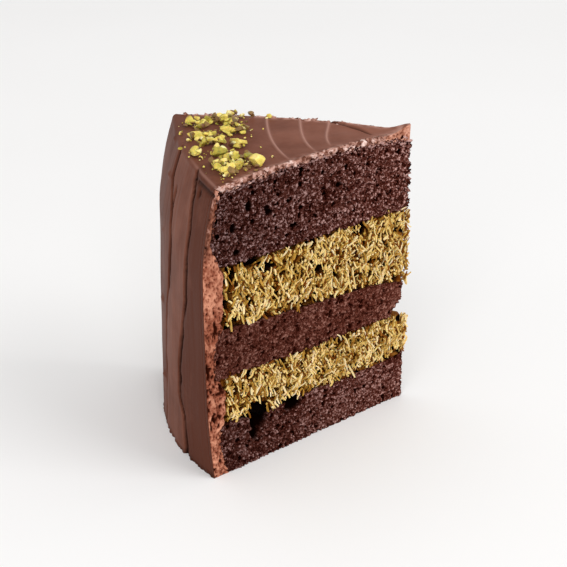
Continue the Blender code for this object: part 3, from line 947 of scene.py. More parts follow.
def scatter_tree():
    tree, given = start_group("scatter shreds", dict.fromkeys(SCATTER_SIZES, 0.0), SCATTER_OTHERS)

    def chance(low, high, offset):
        """A random value for each point, which differs for each offset."""
        seed = tree.math("ADD", given["Seed"], float(offset))
        made = tree.node("FunctionNodeRandomValue", {"Seed": seed}, data_type="FLOAT")[1].node
        ends = [socket for socket in made.inputs if socket.enabled]
        ends[0].default_value = low
        ends[1].default_value = high
        return next(socket for socket in made.outputs if socket.enabled)

    full = tree.node("GeometryNodeInputNamedAttribute", {"Name": "full"}, data_type="FLOAT")[0]
    points = tree.node("GeometryNodeDistributePointsOnFaces", {
        "Mesh": given["Geometry"], "Seed": given["Seed"],
        "Density": tree.times(full, given["Per Square Metre"]),
    }, distribute_method="RANDOM")["Points"]

    where = tree.node("GeometryNodeInputPosition")[0]
    clump = tree.times(tree.minus(tree.noise(where, CLUMPS_PER_METRE, 1.0, 0.5), 0.5), 5.0)
    lean = tree.times(chance(-1.0, 1.0, 1), given["Lean"])
    lean = tree.math("ADD", lean, tree.times(clump, given["Clump Lean"]))
    aim = tree.xyz(X=lean, Y=tree.times(chance(-1.6, 1.0, 2), given["Stand Out"]), Z=1.0)
    spin = tree.node("FunctionNodeEulerToRotation", {0: tree.xyz(Z=chance(0.0, FULL_TURN, 3))})[0]
    turned = tree.node("FunctionNodeAlignRotationToVector", {"Rotation": spin, "Vector": aim}, axis="Z")[0]
    size = tree.xyz(X=chance(0.75, 1.2, 4), Y=chance(0.75, 1.2, 5), Z=chance(0.6, 1.2, 6))

    deep = chance(0.0, 1.0, 7)
    sink = tree.times(tree.minus(deep, 0.25), given["Depth"])
    sunk = tree.node("GeometryNodeSetPosition", {"Geometry": points, "Offset": tree.xyz(Y=sink)})[0]
    shapes = tree.node("GeometryNodeCollectionInfo", {
        "Collection": given["Shapes"], "Separate Children": True, "Reset Children": True,
    })[0]
    kind = tree.math("FLOOR", tree.times(chance(0.0, 0.999, 8), given["Kinds"]))
    laid = tree.node("GeometryNodeInstanceOnPoints", {
        "Points": sunk, "Instance": shapes, "Pick Instance": True, "Rotation": turned, "Scale": size,
        "Instance Index": kind,
    })[0]
    # Painted shade: the deeper a shred is set, the lower its tone.
    tone = tree.minus(chance(0.0, 1.0, 9), tree.times(deep, given["Darkest"]))
    toned = tree.node("GeometryNodeStoreNamedAttribute", {
        "Geometry": laid, "Name": "tone", "Value": tone,
    }, data_type="FLOAT", domain="INSTANCE")[0]
    real = tree.node("GeometryNodeRealizeInstances", {"Geometry": toned})[0]
    return end_group(tree, real, given["Finish"])


SCATTER = scatter_tree()
print("the scatter tree has", len(SCATTER.nodes), "nodes")

# %% Patches for the shreds
PATCH_STEP = 0.9 * MM
PATCH_ROWS = 26
PATCH_START = -0.8 * MM


def flat_patch(name, floor, roof, side, seed):
    """A patch as long and as high as the filling shows on one cut, with y = 0 on the cut."""
    middle = 0.5 * float(level(floor, MIDWAY) + level(roof, MIDWAY))
    reach = float(coat_radius(side * HALF_TURN, middle)) - 1.0 * MM
    columns = np.arange(PATCH_START, reach, PATCH_STEP)
    spots = np.stack([columns, 0 * columns, 0 * columns], axis=-1)
    low = level(floor, columns) + 1.2 * MM + waves(spots, MM, (1.0, 3.0, seed + 3))
    high = level(roof, columns) - 0.9 * MM + waves(spots, MM, (1.0, 3.0, seed + 5))
    out, row = np.meshgrid(columns, np.linspace(0, 1, PATCH_ROWS), indexing="ij")
    height = low[:, None] + (high - low)[:, None] * row
    corners = np.stack([out, 0 * out, height], axis=-1).reshape(-1, 3)
    number = np.arange(len(corners)).reshape(out.shape)
    patch = mesh_object(name, corners.tolist(), quads_of(number).tolist())
    store(patch, {"full": fullness(side, corners[:, 0], corners[:, 2])})
    return patch


def swing_to_cut(thing, side):
    """Move a mesh from its flat patch onto the near cut (-1) or the far cut (1)."""
    along = Vector((-math.cos(HALF_TURN), side * math.sin(HALF_TURN), 0))
    swing = Matrix((along, -Vector(OUT_OF_CUT[side]), Vector((0, 0, 1)))).transposed().to_4x4()
    thing.data.transform(Matrix.Translation((TIP_X, 0, 0)) @ swing)
    if swing.determinant() < 0:
        thing.data.flip_normals()


def join_meshes(name, things):
    """One object from several, with the parts' own objects removed."""
    with bpy.context.temp_override(active_object=things[0], selected_editable_objects=things):
        bpy.ops.object.join()
    things[0].name = name
    return things[0]


# %% Scatter the shreds on both cuts
KINDS_OF_SHRED = (
    # shapes, per square metre, lean, clump lean, stand out, depth, painted shade of the deepest
    (long_threads, 100000, 1.0, 0.5, 0.55, 0.9 * MM, -0.1),
    (short_ends, 950000, 0.50, 0.75, 0.9, 2.4 * MM, 0.71),
    (nubs, 420000, 1.5, 0.4, 1.0, 2.2 * MM, 0.66),
)
SHRED_SHARP_FROM = math.radians(60)


def make_shreds(node, floor, roof, seed, shade_offset):
    patches = []
    for side in (-1, 1):
        for number, (shapes, dense, *sizes, depth_shade) in enumerate(KINDS_OF_SHRED):
            patch = flat_patch(f"{node} patch {side} {number}", floor, roof, side, seed)
            apply_tree(patch, SCATTER, {
                **dict(zip(SCATTER_SIZES, (float(dense), *sizes, depth_shade + shade_offset))),
                "Seed": seed * 100 + side * 10 + number, "Kinds": len(shapes.objects),
                "Shapes": shapes, "Finish": shred_material,
            })
            swing_to_cut(patch, side)
            patches.append(patch)
    thing = join_meshes(node + "_shreds", patches)
    thing.data.shade_smooth()
    thing.data.set_sharp_from_angle(angle=SHRED_SHARP_FROM)
    hand_over(thing, node)


for filling in FILLINGS:
    make_shreds(*filling)

# %% [markdown]
# ## The frosting
#
# The coat is one thick shell: up the outer wall, round a soft shoulder and along the top to
# a lip at the tip. It is another grid block, bent so that its steps run across the slice,
# along that path, and through the coat's thickness. The spatula left two stepped grooves
# down the wall and thin raised arcs on the top, which are real relief. Extra steps crowd
# together beside them, so that the rest of the coat can stay coarse.

# %% The path of the coat
WALL_STEPS = 128
RIM_STEPS = 8
TOP_STEPS = 130
RIM_END = WALL_STEPS + RIM_STEPS
LAST_STEP = RIM_END + TOP_STEPS
FOOT_STEPS = 14
FOOT_PART = 0.04
LIP_END = -0.1 * MM
# The raised arcs of the top: distance from the tip, in millimetres, at five turns in degrees
ARC_TURNS = (-27, -13, 0, 13, 27)
ARCS = ((62.0, 58.8, 57.0, 56.7, 58.8), (48.8, 46.2, 44.1, 43.6, 45.0), (41.0, 37.4, 34.3, 32.7, 33.0))
# A fold near the tip, where the far edge curls up, with painted shade in it
FOLD = (16.5, 17.0, 18.0, 21.5, 31.0)


def top_height(out):
    """The top of the frosting: a low swell and a lip at the tip."""
    part = np.clip(out / (98 * MM), 0, 1)
    height = HEIGHT + TOP_RISE * np.sin(math.pi * part) - 0.6 * MM * (1 - part)
    return height + TIP_LIP * fade_out(out + TIP_OVERHANG, 7 * MM)


def arc_out(arc, turn):
    """A smooth curve through an arc's five distances."""
    return np.polyval(np.polyfit(np.radians(ARC_TURNS), arc, 3), turn) * MM


def wall_part(station):
    """How far up the wall a step lies, with closer steps at its foot."""
    return np.interp(station, (0, FOOT_STEPS, WALL_STEPS), (0, FOOT_PART, 1))


def outer_path(turn, station):
    """Distance from the tip's axis and height of the coat's outer face."""
    rim_top = top_height(94 * MM)
    rim_foot = rim_top - RIM_ROUND
    wall_height = rim_foot * wall_part(station)
    bend = np.clip((station - WALL_STEPS) / RIM_STEPS, 0, 1) * math.pi / 2
    rim_out = wall_radius(turn, rim_foot) - RIM_ROUND
    top_part = np.clip((station - RIM_END) / TOP_STEPS, 0, 1)
    top_out = rim_out + (LIP_END - rim_out) * top_part
    for arc in (*ARCS, FOLD):
        gap = top_out - arc_out(arc, turn)
        top_out = top_out - 0.6 * gap * fade_out(gap, 2.6 * MM)
    top = rim_top + (top_height(top_out) - rim_top) * np.clip((rim_out - top_out) / (4 * MM), 0, 1)
    where = [top_part > 0, station > WALL_STEPS]
    out = np.select(where, [top_out, rim_out + RIM_ROUND * np.cos(bend)], wall_radius(turn, wall_height))
    height = np.select(where, [top, rim_foot + RIM_ROUND * np.sin(bend)], wall_height)
    return out, height


def inner_path(turn, station):
    """Distance and height of the coat's inner face, with the same number of steps."""
    corner = WALL_STEPS + RIM_STEPS / 2
    inner_top = float(level("top_of_sponge", 92 * MM))
    risen = wall_part(station) * WALL_STEPS + np.maximum(station - WALL_STEPS, 0)
    height = inner_top * np.clip(risen / corner, 0, 1)
    corner_out = coat_radius(turn, inner_top)
    top_part = np.clip((station - corner) / (LAST_STEP - corner), 0, 1)
    spots = np.stack(np.broadcast_arrays(turn * CUT_LENGTH, height, 0 * height), axis=-1)
    ragged = waves(spots, MM, (0.9, 3.2, 68), (0.5, 1.3, 69))
    top_out = corner_out + (LIP_END + 0.3 * MM - corner_out) * top_part
    out = np.where(station <= corner, coat_radius(turn, height) + ragged, top_out)
    height = np.where(station <= corner, height, level("top_of_sponge", out))
    return out, height


# %% [markdown]
# The marks of the spatula are functions of the same three numbers. Each gives its relief,
# and also painted shade and painted highlights for the finish: light alone would not show
# creases this thin.

# %% Spatula marks of the wall
# The two grooves down the outer wall: height in millimetres against turn in degrees
GROOVE_NEAR = (
    (0, 18, 25, 35, 50, 60, 70, 85, 100, 120),
    (-14.5, -14, -11, -11.5, -13, -14.5, -16.5, -17, -17.5, -14),
)
GROOVE_FAR = ((0, 55, 65, 76, 87, 97, 108, 120), (0.5, 0, -2, -3.3, -4.3, -2.4, 3, 3.5))
# Small pits of the wall: turn in degrees, height, half width, half height and depth in millimetres
PITS = (
    (-3.2, 103, 1.7, 4.0, 1.8), (-14.6, 116, 1.5, 1.2, 1.0), (-16.8, 112, 1.2, 1.6, 1.0),
    (-19.8, 114, 1.4, 1.4, 1.0), (-12.9, 33, 1.5, 2.4, 1.3), (-12.2, 26, 1.4, 2.0, 1.3),
    (9.0, 88, 2.0, 1.1, 0.45), (15.0, 52, 1.5, 2.6, 0.40), (21.0, 97, 1.8, 1.3, 0.45),
)
# Spurs of frosting that stand out of the wall, with the same numbers
SPURS = (
    (6.0, 53, 4.0, 1.0, 1.2), (6.0, 107, 4.0, 1.1, 0.9), (3.0, 21, 3.0, 1.2, 1.0), (12.0, 118, 4.0, 1.2, 0.9),
    (5.0, 84, 3.0, 1.0, 0.4),
)
GROOVE_DEPTH = 1.8 * MM
NEAR_GROOVE_WIDTH = 4.2 * MM
FAR_GROOVE_WIDTH = 4.6 * MM
SHARP_EDGE = 0.45 * MM
PANEL_EDGE = 0.15 * MM
# How pale the near, the middle and the far panels are: painted light and shade, for panels that face the
# light differently.
PANEL_LIGHT_AND_SHADE = (0.06, 0.64, 0.40)
OVERHANG_AT = 117.2 * MM


def groove_distance(groove, turn, height, seed):
    """How far to the side of a groove a point of the wall lies, with a ragged edge."""
    middle = np.radians(np.interp(height / MM, *groove))
    spots = np.stack([height * 0, height, height * 0], axis=-1)
    return (turn - middle) * CUT_LENGTH + waves(spots, MM, (0.45, 5, seed), (0.22, 1.8, seed + 1))


def step_down(beside, width):
    """A sharp edge on one side, and a slope back up that is as wide as asked on the other."""
    edge = np.clip(1 - beside / SHARP_EDGE, 0, 1)
    return np.where(beside > 0, edge, np.clip(1 + beside / width, 0, 1) ** 1.5)


def wall_marks(turn, height):
    """Relief of the outer wall and, for its finish, painted shade for the grooves, pits, the rim's
    overhang and the foot, and how pale each panel is, which is partly painted light and shade.
    """
    near = groove_distance(GROOVE_NEAR, turn, height, 51)
    far = groove_distance(GROOVE_FAR, turn, height, 53)
    across = turn * CUT_LENGTH
    spots = np.stack([across, height, height * 0], axis=-1)
    along_groove = np.stack([height, height * 0, height * 0], axis=-1)
    strength = np.clip(0.85 + 0.9 * field(along_groove, 11, 55), 0.4, 1.3)
    near_cut = strength * step_down(near, NEAR_GROOVE_WIDTH)
    far_fades = np.clip((height - 48 * MM) / (20 * MM), 0.25, 1)
    far_cut = strength * far_fades * step_down(far, FAR_GROOVE_WIDTH)
    marks = -GROOVE_DEPTH * (near_cut + far_cut)
    near_edge = np.exp(-np.clip(near, 0, 1) / (2.2 * MM)) * ramp_up(near, 0, 0.4 * MM)
    far_edge = np.exp(np.clip(far, -1, 0) / (2.0 * MM)) * ramp_up(-far, 0, 0.4 * MM)
    marks += PANEL_EDGE * (near_edge + 0.7 * far_edge)
    marks += waves(spots, MM, (0.05, 0.9, 57, (1, 22, 1)), (0.08, 2.6, 59, (1, 12, 1)))
    marks += waves(spots, MM, (0.45, 15, 58, (1, 2, 1)))
    # Painted shade: the steps of the grooves and the pits are painted dark through this value.
    crease_shade = 1.6 * near_cut**1.4 + 1.4 * far_cut**1.3
    for spot_turn, *spot, depth in PITS:
        pit = np.clip(1.25 - radii_from(across, height, math.radians(spot_turn) * CUT_LENGTH, spot), 0, 1)
        marks -= depth * MM * pit
        crease_shade += pit * min(depth, 1)
    for spot_turn, *spot, rise in SPURS:
        far_off = radii_from(across, height, math.radians(spot_turn) * CUT_LENGTH, spot)
        marks += rise * MM * np.clip(1.2 - far_off, 0, 1)
    at_corner = ramp_up(-turn, math.radians(16), math.radians(1.5))
    # Painted shadow under the rim's overhang at the near corner, beside a small real dent, and painted shade
    # at the foot of the wall.
    under_rim = fade_out(height - OVERHANG_AT, 0.7 * MM) * at_corner
    foot = np.clip(1 - height / (2.6 * MM), 0, 1)
    marks += foot * waves(spots, MM, (0.7, 1.7, 63), (0.35, 0.8, 64)) - 0.9 * MM * under_rim
    # The panels' paleness is painted light and shade; the streaks added to it are the frosting's own.
    panel = np.select([near < 0, far < 0], PANEL_LIGHT_AND_SHADE[:2], PANEL_LIGHT_AND_SHADE[2])
    panel += waves(spots, 1, (0.14, 6, 65, (1, 6, 1)), (0.10, 1.2, 66, (1, 14, 1)))
    return marks, np.clip(crease_shade + 0.8 * under_rim + 0.5 * foot, 0, 1), panel


# %% Spatula marks of the top
RIDGE_RISE = 0.5 * MM
RIDGE_WIDTH = 0.5 * MM
DISH_DEPTH = 0.32 * MM
FOLD_DEPTH = 0.7 * MM
CURL_RISE = 0.9 * MM


def top_marks(turn, out):
    """Relief of the top, thin arcs with a shallow dish beside each and one fold, how far each
    point is up an arc, for a painted highlight, and how deep it is in the fold, for painted shade."""
    rise = np.zeros_like(out)
    arcs = np.zeros_like(out)
    for number, arc in enumerate(ARCS):
        beside = out - arc_out(arc, turn)
        fade = ramp_up(turn, -HALF_TURN * (0.98 - 0.06 * number), HALF_TURN * 0.3)
        crest = fade * fade_out(beside, RIDGE_WIDTH)
        arcs += crest
        rise += RIDGE_RISE * crest - DISH_DEPTH * fade * fade_out(beside + 2.4 * MM, 2.6 * MM)
    beside = out - arc_out(FOLD, turn)
    fold = fade_out(beside, 0.6 * MM) * ramp_up(turn, -HALF_TURN * 0.5, HALF_TURN * 0.4)
    curl = ramp_up(-beside, 0, 1.2 * MM) * np.exp(np.minimum(beside, 0) / (9 * MM))
    rise += CURL_RISE * curl * ramp_up(turn, -0.05, 0.25) - FOLD_DEPTH * fold
    spots = np.stack([out, turn * 40 * MM, out * 0], axis=-1)
    rise += waves(spots, MM, (0.05, 1.2, 61, (1, 12, 1)), (0.25, 11, 62))
    return rise, np.clip(arcs, 0, 1), 0.75 * fold


# %% Places of the coat
CUT_DEPTH = 2.4 * MM
# How pale the top is: distance from the tip in millimetres against paleness
TOP_PALENESS = ((20, 60, 95), (0.86, 0.66, 0.44))


def coat_places(side, station, through):
    """Points of the coat: side -1 to 1, a step along its path, and 0 outside to 1 inside.
    Also the three values that its finish reads: painted shade in the creases, the paleness of
    the panels, partly painted light, and painted highlights."""
    turn = turn_of(side)
    out, height = outer_path(turn, station)
    inner_out, inner_height = inner_path(turn, station)
    marks, crease_shade, panel = wall_marks(turn, height)
    rise, arcs, fold = top_marks(turn, out)
    on_wall = np.clip((RIM_END - station) / RIM_STEPS, 0, 1)
    on_top = 1 - on_wall
    out = out + marks * on_wall
    height = height + rise * on_top
    panel = panel * on_wall + np.interp(out / MM, *TOP_PALENESS) * on_top
    out = out + (inner_out - out) * through
    height = height + (inner_height - height) * through
    spot = place(side, out * np.cos(turn), height)
    # Painted highlights: the rim, the thin arcs and the smeared edges along both cuts are painted paler
    # through the edge value.
    on_rim = fade_out(station - WALL_STEPS - RIM_STEPS * 0.7, RIM_STEPS * 0.16)
    on_rim = on_rim * ramp_up(-turn, math.radians(4), math.radians(12))
    from_cut = (1 - np.abs(side)) * half_width(np.maximum(out, 0))
    smeared = fade_out(from_cut, 2.6 * MM) * np.clip(0.65 + 1.6 * field(spot, 2.6, 67), 0, 1)
    # Painted shade at the very tip, on its far half.
    curled = 0.5 * np.clip(1 - out / (5 * MM), 0, 1) * np.clip(side + 0.6, 0, 1)
    return spot, {
        "crease_shade": crease_shade * on_wall + (fold + curled) * on_top,
        "panel": panel,
        "edge": (0.8 * arcs + 1.2 * smeared * (out < 90 * MM)) * on_top + 0.4 * on_rim,
    }


def inset_part(station, depth):
    """How much of the half width a depth behind a cut takes up, less at the narrow tip."""
    out, _ = outer_path(np.zeros_like(station), station)
    return np.minimum(depth / half_width(np.maximum(out, 0)), 0.45 * depth / CUT_DEPTH)


def coat_block(name, across, along, through_steps, side_at):
    """A block of the coat, as an object and its corners' grid numbers. side_at turns a step
    across and a step along into a side of the slice."""
    values = {}

    def point(part, station, through):
        spot, found = coat_places(side_at(part, station), station, through)
        values.update(found)
        return spot

    thing, grid = grid_block(name, across, along, even_steps(through_steps), point)
    store(thing, values)
    thing.data.materials.append(spread_material)
    return thing, grid


# %% Make the coat
COLUMNS = 140
THROUGH_STEPS = 3


def column_side(part, station):
    """Sides of the slice, crowded together beside the two grooves."""
    turn = -HALF_TURN + 2 * HALF_TURN * part
    for groove in (GROOVE_NEAR, GROOVE_FAR):
        gap = turn - np.radians(np.interp(HEIGHT * wall_part(station) / MM, *groove))
        pull = 0.6 * gap * fade_out(gap, math.radians(2.6))
        turn = turn - pull * np.clip((HALF_TURN - np.abs(turn)) / math.radians(4), 0, 1)
    return np.tan(turn) / math.tan(HALF_TURN) * (1 - inset_part(station, CUT_DEPTH))


stations = np.arange(LAST_STEP + 1).astype(float)
coat, _ = coat_block("frosting_coat", even_steps(COLUMNS), stations, THROUGH_STEPS, column_side)
face_outwards(coat)
hand_over(coat, "frosting")

# %% [markdown]
# Where the knife went through the coat, it tore the frosting open. Air holes, drawn-out pits
# and crumbs need a much finer grid than the smooth wall, so each cut gets its own thin slab
# of the coat. It uses the same places as the coat, and the join between them can't be seen.

# %% Cut faces of the coat
SLAB_DEPTHS = np.array([0, 0.25, 0.7, 1.4, 2.4]) * MM
SLAB_STEPS = 600
SLAB_THROUGH = 30
# Cracks of the near cut: distance from the tip, height and the two radii, in millimetres
CRACKS = (
    (104.5, 47.3, 0.9, 4.2), (105.3, 31.0, 1.0, 3.8), (100.6, 64.3, 0.7, 4.6), (99.5, 36.5, 2.8, 0.8),
    (99.5, 26, 0.9, 1.2),
)
# How much paler the cut frosting is: height in millimetres against paleness
CUT_TONES = ((0, 30, 40, 64, 74, 88, 96, 113, 116), (0.04, 0.02, -0.14, -0.16, 0.07, 0.08, 0, 0, 0.30))
TORN_RELIEF = 0.62
DRAWN_OUT = (1, 1, 1.7)


def torn_pits(side, spots, out):
    """How deep the air holes, pits and cracks of a cut are at each spot, in millimetres."""
    low_down = ramp_up(-spots[:, 2], -62 * MM, 26 * MM)
    pits = (0.5 + 1.6 * low_down) * np.clip(field(spots, 1.15, 71, DRAWN_OUT) - 0.14, 0, 1)
    pits += (0.5 + 1.0 * low_down) * np.clip(field(spots, 2.2, 72, DRAWN_OUT) - 0.24, 0, 1)
    pits += 0.9 * np.clip(field(spots, 0.7, 75) - 0.1, 0, 1)
    ragged = 0.8 * field(spots, 1.8, 76)
    for crack_out, crack_height, wide, tall in CRACKS:
        across = (out / MM - crack_out) / wide + ragged
        reach = np.hypot(across, (spots[:, 2] / MM - crack_height) / tall)
        pits += 0.9 * np.clip(1.2 - reach, 0, 1) * (side < 0)
    return pits


def make_cut_slab(side):
    def side_at(depth, station):
        return side * (1 - inset_part(station, depth))

    along = np.linspace(0, LAST_STEP, SLAB_STEPS + 1)
    thing, grid = coat_block(f"frosting cut {side}", SLAB_DEPTHS, along, SLAB_THROUGH, side_at)
    places = places_of(thing)
    on_cut = grid[0] == 0
    spots = places[on_cut]
    station = along[grid[1][on_cut]]
    through = grid[2][on_cut] / SLAB_THROUGH
    out = distance_of(spots)
    pits = torn_pits(side, spots, out)
    lumps = waves(spots, 1, (0.5, 2.2, 73), (0.45, 5, 74))
    skin = np.clip(through / 0.12, 0.25, 1)
    near_tip = np.clip(half_width(TIP_X - spots[:, 0]) / (5 * MM), 0.05, 1)
    proud = (0.8 * lumps - 1.1 * pits) * MM * skin * near_tip
    places[on_cut] += OUT_OF_CUT[side] * proud[:, None]
    put_back(thing, places)

    relief = np.full(len(places), TORN_RELIEF)
    # Painted shade in the pits and painted light on the lumps, on top of their real relief.
    relief[on_cut] += lumps * 0.5 - pits * 0.95 + np.interp(spots[:, 2] / MM, *CUT_TONES)
    on_top = ramp_up(station, WALL_STEPS, RIM_STEPS)
    beyond_tip = np.clip((out - 16 * MM) / (10 * MM), 0.45, 1)
    high_up = ramp_up(spots[:, 2], 91 * MM, 7 * MM) * np.clip(1.25 - through * 1.1, 0, 1)
    # The smeared edge along the top takes the smear tones: painted shade, the frosting's colour and painted
    # highlights.
    smear = np.zeros(len(places))
    smear[on_cut] = np.clip(np.maximum(on_top * beyond_tip * 0.9, high_up * (1 - on_top)), 0, 1)
    store(thing, {"relief": relief, "smear": smear})
    thing.data.materials.append(torn_material)
    for face in thing.data.polygons:
        if all(on_cut[corner] for corner in face.vertices):
            face.material_index = 1
    face_outwards(thing)
    return thing


cut_faces = join_meshes("frosting_cut", [make_cut_slab(side) for side in (-1, 1)])
hand_over(cut_faces, "frosting")

# %% [markdown]
# The knife also dragged frosting over the edge of the top. It stands along both cuts as small
# ragged lumps, some of them pale where the light catches their wet tips. Lumps are scattered
# along the edge, and the few large ones lie where the photo shows them.

# %% Helpers for heaps of small things


def rough_ball(rng, detail, amount, bumps):
    """A ball one unit wide, made uneven by noise."""
    shell = bmesh.new()
    bmesh.ops.create_icosphere(shell, subdivisions=detail, radius=0.5)
    shift = Vector((rng.random(), rng.random(), rng.random())) * 20
    for vert in shell.verts:
        vert.co *= 1 + amount * noise.noise(vert.co * bumps + shift)
    return shell


def settle(shell, *moves):
    """Move a small mesh to its place, and give its corners and faces."""
    for move in moves:
        bmesh.ops.transform(shell, matrix=move, verts=shell.verts)
    corners = np.array([vert.co for vert in shell.verts])
    faces = np.array([[vert.index for vert in face.verts] for face in shell.faces])
    shell.free()
    return corners, faces


def make_heap(name, parts, finish, node="frosting", sharp_from=180):
    """One mesh from many small ones, which each bring values for the finish to read."""
    starts = np.cumsum([0] + [len(corners) for corners, _, _ in parts])
    corners = np.concatenate([part[0] for part in parts])
    faces = np.concatenate([part[1] + start for part, start in zip(parts, starts)])
    thing = mesh_object(name, corners.tolist(), faces.tolist())
    store(thing, {key: np.concatenate([part[2][key] for part in parts]) for key in parts[0][2]})
    thing.data.materials.append(finish)
    thing.data.shade_smooth()
    thing.data.set_sharp_from_angle(angle=math.radians(sharp_from))
    hand_over(thing, node)


# %% Torn lumps along the top edge
# Large lumps of the near cut: distance from the tip and size in millimetres, and paleness, a painted
# highlight on their wet tips
BIG_LUMPS = (
    (21, 1.8, 0.9), (25, 3.6, 1.0), (31, 2.6, 0.8), (35, 2.8, 0.85), (40, 2.2, 0.6), (46, 2.4, 0.75),
    (51, 2.6, 0.8), (58, 2.0, 0.6), (64, 2.2, 0.6), (71, 1.8, 0.5), (80, 2.0, 0.45), (91, 2.2, 0.8),
    (96, 2.6, 0.8),
)
SMALL_LUMPS = 420
lump_rng = random.Random(77)


def lump(side, out, drop, size):
    """A ragged lump on the edge of a cut, as corners and faces."""
    rng = lump_rng
    shell = rough_ball(rng, 2, 0.8, 3.0)
    turn = side * HALF_TURN
    height = float(top_height(out)) - drop
    spot = Vector(place(side, out * math.cos(turn), height)) - Vector(OUT_OF_CUT[side]) * size * 0.16
    sizes = [size * rng.uniform(*ends) for ends in ((0.9, 1.9), (0.5, 0.9), (0.4, 0.9))]
    spin = Matrix.Rotation(-turn, 4, "Z") @ Matrix.Rotation(rng.uniform(-0.6, 0.6), 4, "Y")
    return settle(shell, Matrix.Translation(spot) @ spin @ Matrix.Diagonal((*sizes, 1)))


def frosting_lump(side, out, drop, size, pale):
    corners, faces = lump(side, out, drop, size)
    # The paleness becomes a painted highlight through the smear tones.
    relief = np.full(len(corners), 0.46 + 0.78 * pale)
    return corners, faces, {"smear": np.ones(len(corners)), "relief": relief}


parts = []
for out, size, pale in BIG_LUMPS:
    for side, shift in ((-1, 0), (1, -6)):
        drop = lump_rng.uniform(0.6, 1.2) * MM
        parts.append(frosting_lump(side, (out + shift) * MM, drop, size * MM, pale))
for _ in range(SMALL_LUMPS):
    out = lump_rng.uniform(12, 94) * MM
    size = lump_rng.uniform(0.7, 2.5) * MM
    drop = lump_rng.uniform(0.1, 1.9) * MM
    side = lump_rng.choice((-1, 1))
    parts.append(frosting_lump(side, out, drop, size, lump_rng.uniform(0.05, 0.85)))
make_heap("frosting_lumps", parts, torn_material)

# %% [markdown]
# Crumbs of sponge cling to the underside of that edge, so sponge and frosting don't meet in a
# clean line. They are the same small lumps, set lower, in the sponge's own finish.

# %% Crumbs below the edge
EDGE_CRUMBS = 620
TIP_CRUMBS = 70


def sponge_crumb(side, out, drop, size, outwards):
    corners, faces = lump(side, out, drop, size)
    shade = np.full(len(corners), lump_rng.uniform(0.35, 0.95))
    return corners, faces, {"relief": shade, "hollow": 0 * shade, "outwards": 0 * shade + outwards}


parts = []
for _ in range(EDGE_CRUMBS):
    side = lump_rng.choice((-1, 1))
    out = lump_rng.uniform(1, 97) * MM
    thick = float(top_height(out) - level("top_of_sponge", out))
    drop = thick * lump_rng.uniform(0.45 + 0.25 * (out < 14 * MM), 1.3)
    size = lump_rng.uniform(0.7, 1.7) * MM
    parts.append(sponge_crumb(side, out, drop, size, min(out / (100 * MM), 1)))
for _ in range(TIP_CRUMBS):
    drop = float(top_height(1 * MM)) - lump_rng.uniform(88, 116) * MM
    side = lump_rng.choice((-1, 1))
    out = lump_rng.uniform(0.2, 1.6) * MM
    parts.append(sponge_crumb(side, out, drop, lump_rng.uniform(1.2, 2.6) * MM, 0))
make_heap("sponge_edge_crumbs", parts, sponge_material, "sponge_top")

# %% [markdown]
# ## The pistachios
#
# The nuts were chopped, so each is a rounded kernel with flat faces where the knife went.
# The larger pieces lie where the photo shows them. Each starts as a ball, has everything
# beyond a few random planes pressed flat, and is stretched to its own size.

# %% Chopped kernels
# Distance from the tip, turn, length and width in millimetres, heading in degrees and tone
NUTS = (
    (88.9, 18.7, 5.4, 4.6, 80, 0.55), (83.4, 15.5, 4.8, 4.2, 20, 0.7), (84.9, 7.1, 9.0, 4.6, -28, 0.5),
    (80.6, 20.0, 5.6, 3.6, 10, 0.1), (77.4, 22.2, 4.6, 3.4, -20, 0.8), (74.0, 17.5, 6.4, 5.2, 30, 0.45),
    (70.8, 17.6, 6.2, 5.0, 90, 0.75), (68.4, 24.2, 3.0, 2.4, 0, 0.9), (72.9, 8.7, 7.6, 4.2, 0, 0.5),
    (78.8, 5.6, 5.6, 4.2, -30, 0.75), (77.9, 0.1, 9.2, 4.6, 25, 0.62), (72.1, -4.1, 10.4, 5.4, 8, 0.6),
    (80.6, -9.0, 7.6, 6.4, 60, 0.05), (89.4, -6.5, 6.6, 5.0, 50, 0.4), (83.9, -0.5, 4.6, 3.0, 20, 0.2),
    (79.7, -13.7, 5.0, 3.6, -50, 0.35), (87.5, -15.9, 4.4, 4.0, 90, 0.7), (85.0, -16.9, 3.4, 3.0, 20, 0.95),
    (77.6, -15.5, 5.6, 4.6, 70, 0.3), (81.1, -21.4, 6.2, 5.2, 40, 0.45), (85.5, -21.8, 5.4, 4.2, 0, 0.15),
    (75.4, -21.5, 8.8, 6.4, -30, 0.6), (88.5, -23.4, 4.8, 3.0, 10, 0.7), (73.6, -16.4, 4.6, 3.8, 30, 0.1),
    (67.4, 9.2, 4.6, 3.0, -20, 0.1), (57.0, 25.5, 3.2, 2.4, 15, 0.6),
)
nut_rng = random.Random(81)


def random_way(lowest, highest):
    across = nut_rng.uniform(-1, 1)
    along = nut_rng.uniform(-1, 1)
    return Vector((across, along, nut_rng.uniform(lowest, highest))).normalized()


def chopped_kernel(detail, cuts):
    """A rough ball, pressed flat on the planes of the knife."""
    shell = rough_ball(nut_rng, detail, 0.24, 2.6)
    for _ in range(cuts):
        normal = random_way(-0.6, 1)
        depth = nut_rng.uniform(0.10, 0.32)
        for vert in shell.verts:
            past = vert.co.dot(normal) - depth
            if past > 0:
                vert.co -= normal * past * 0.97
    return shell


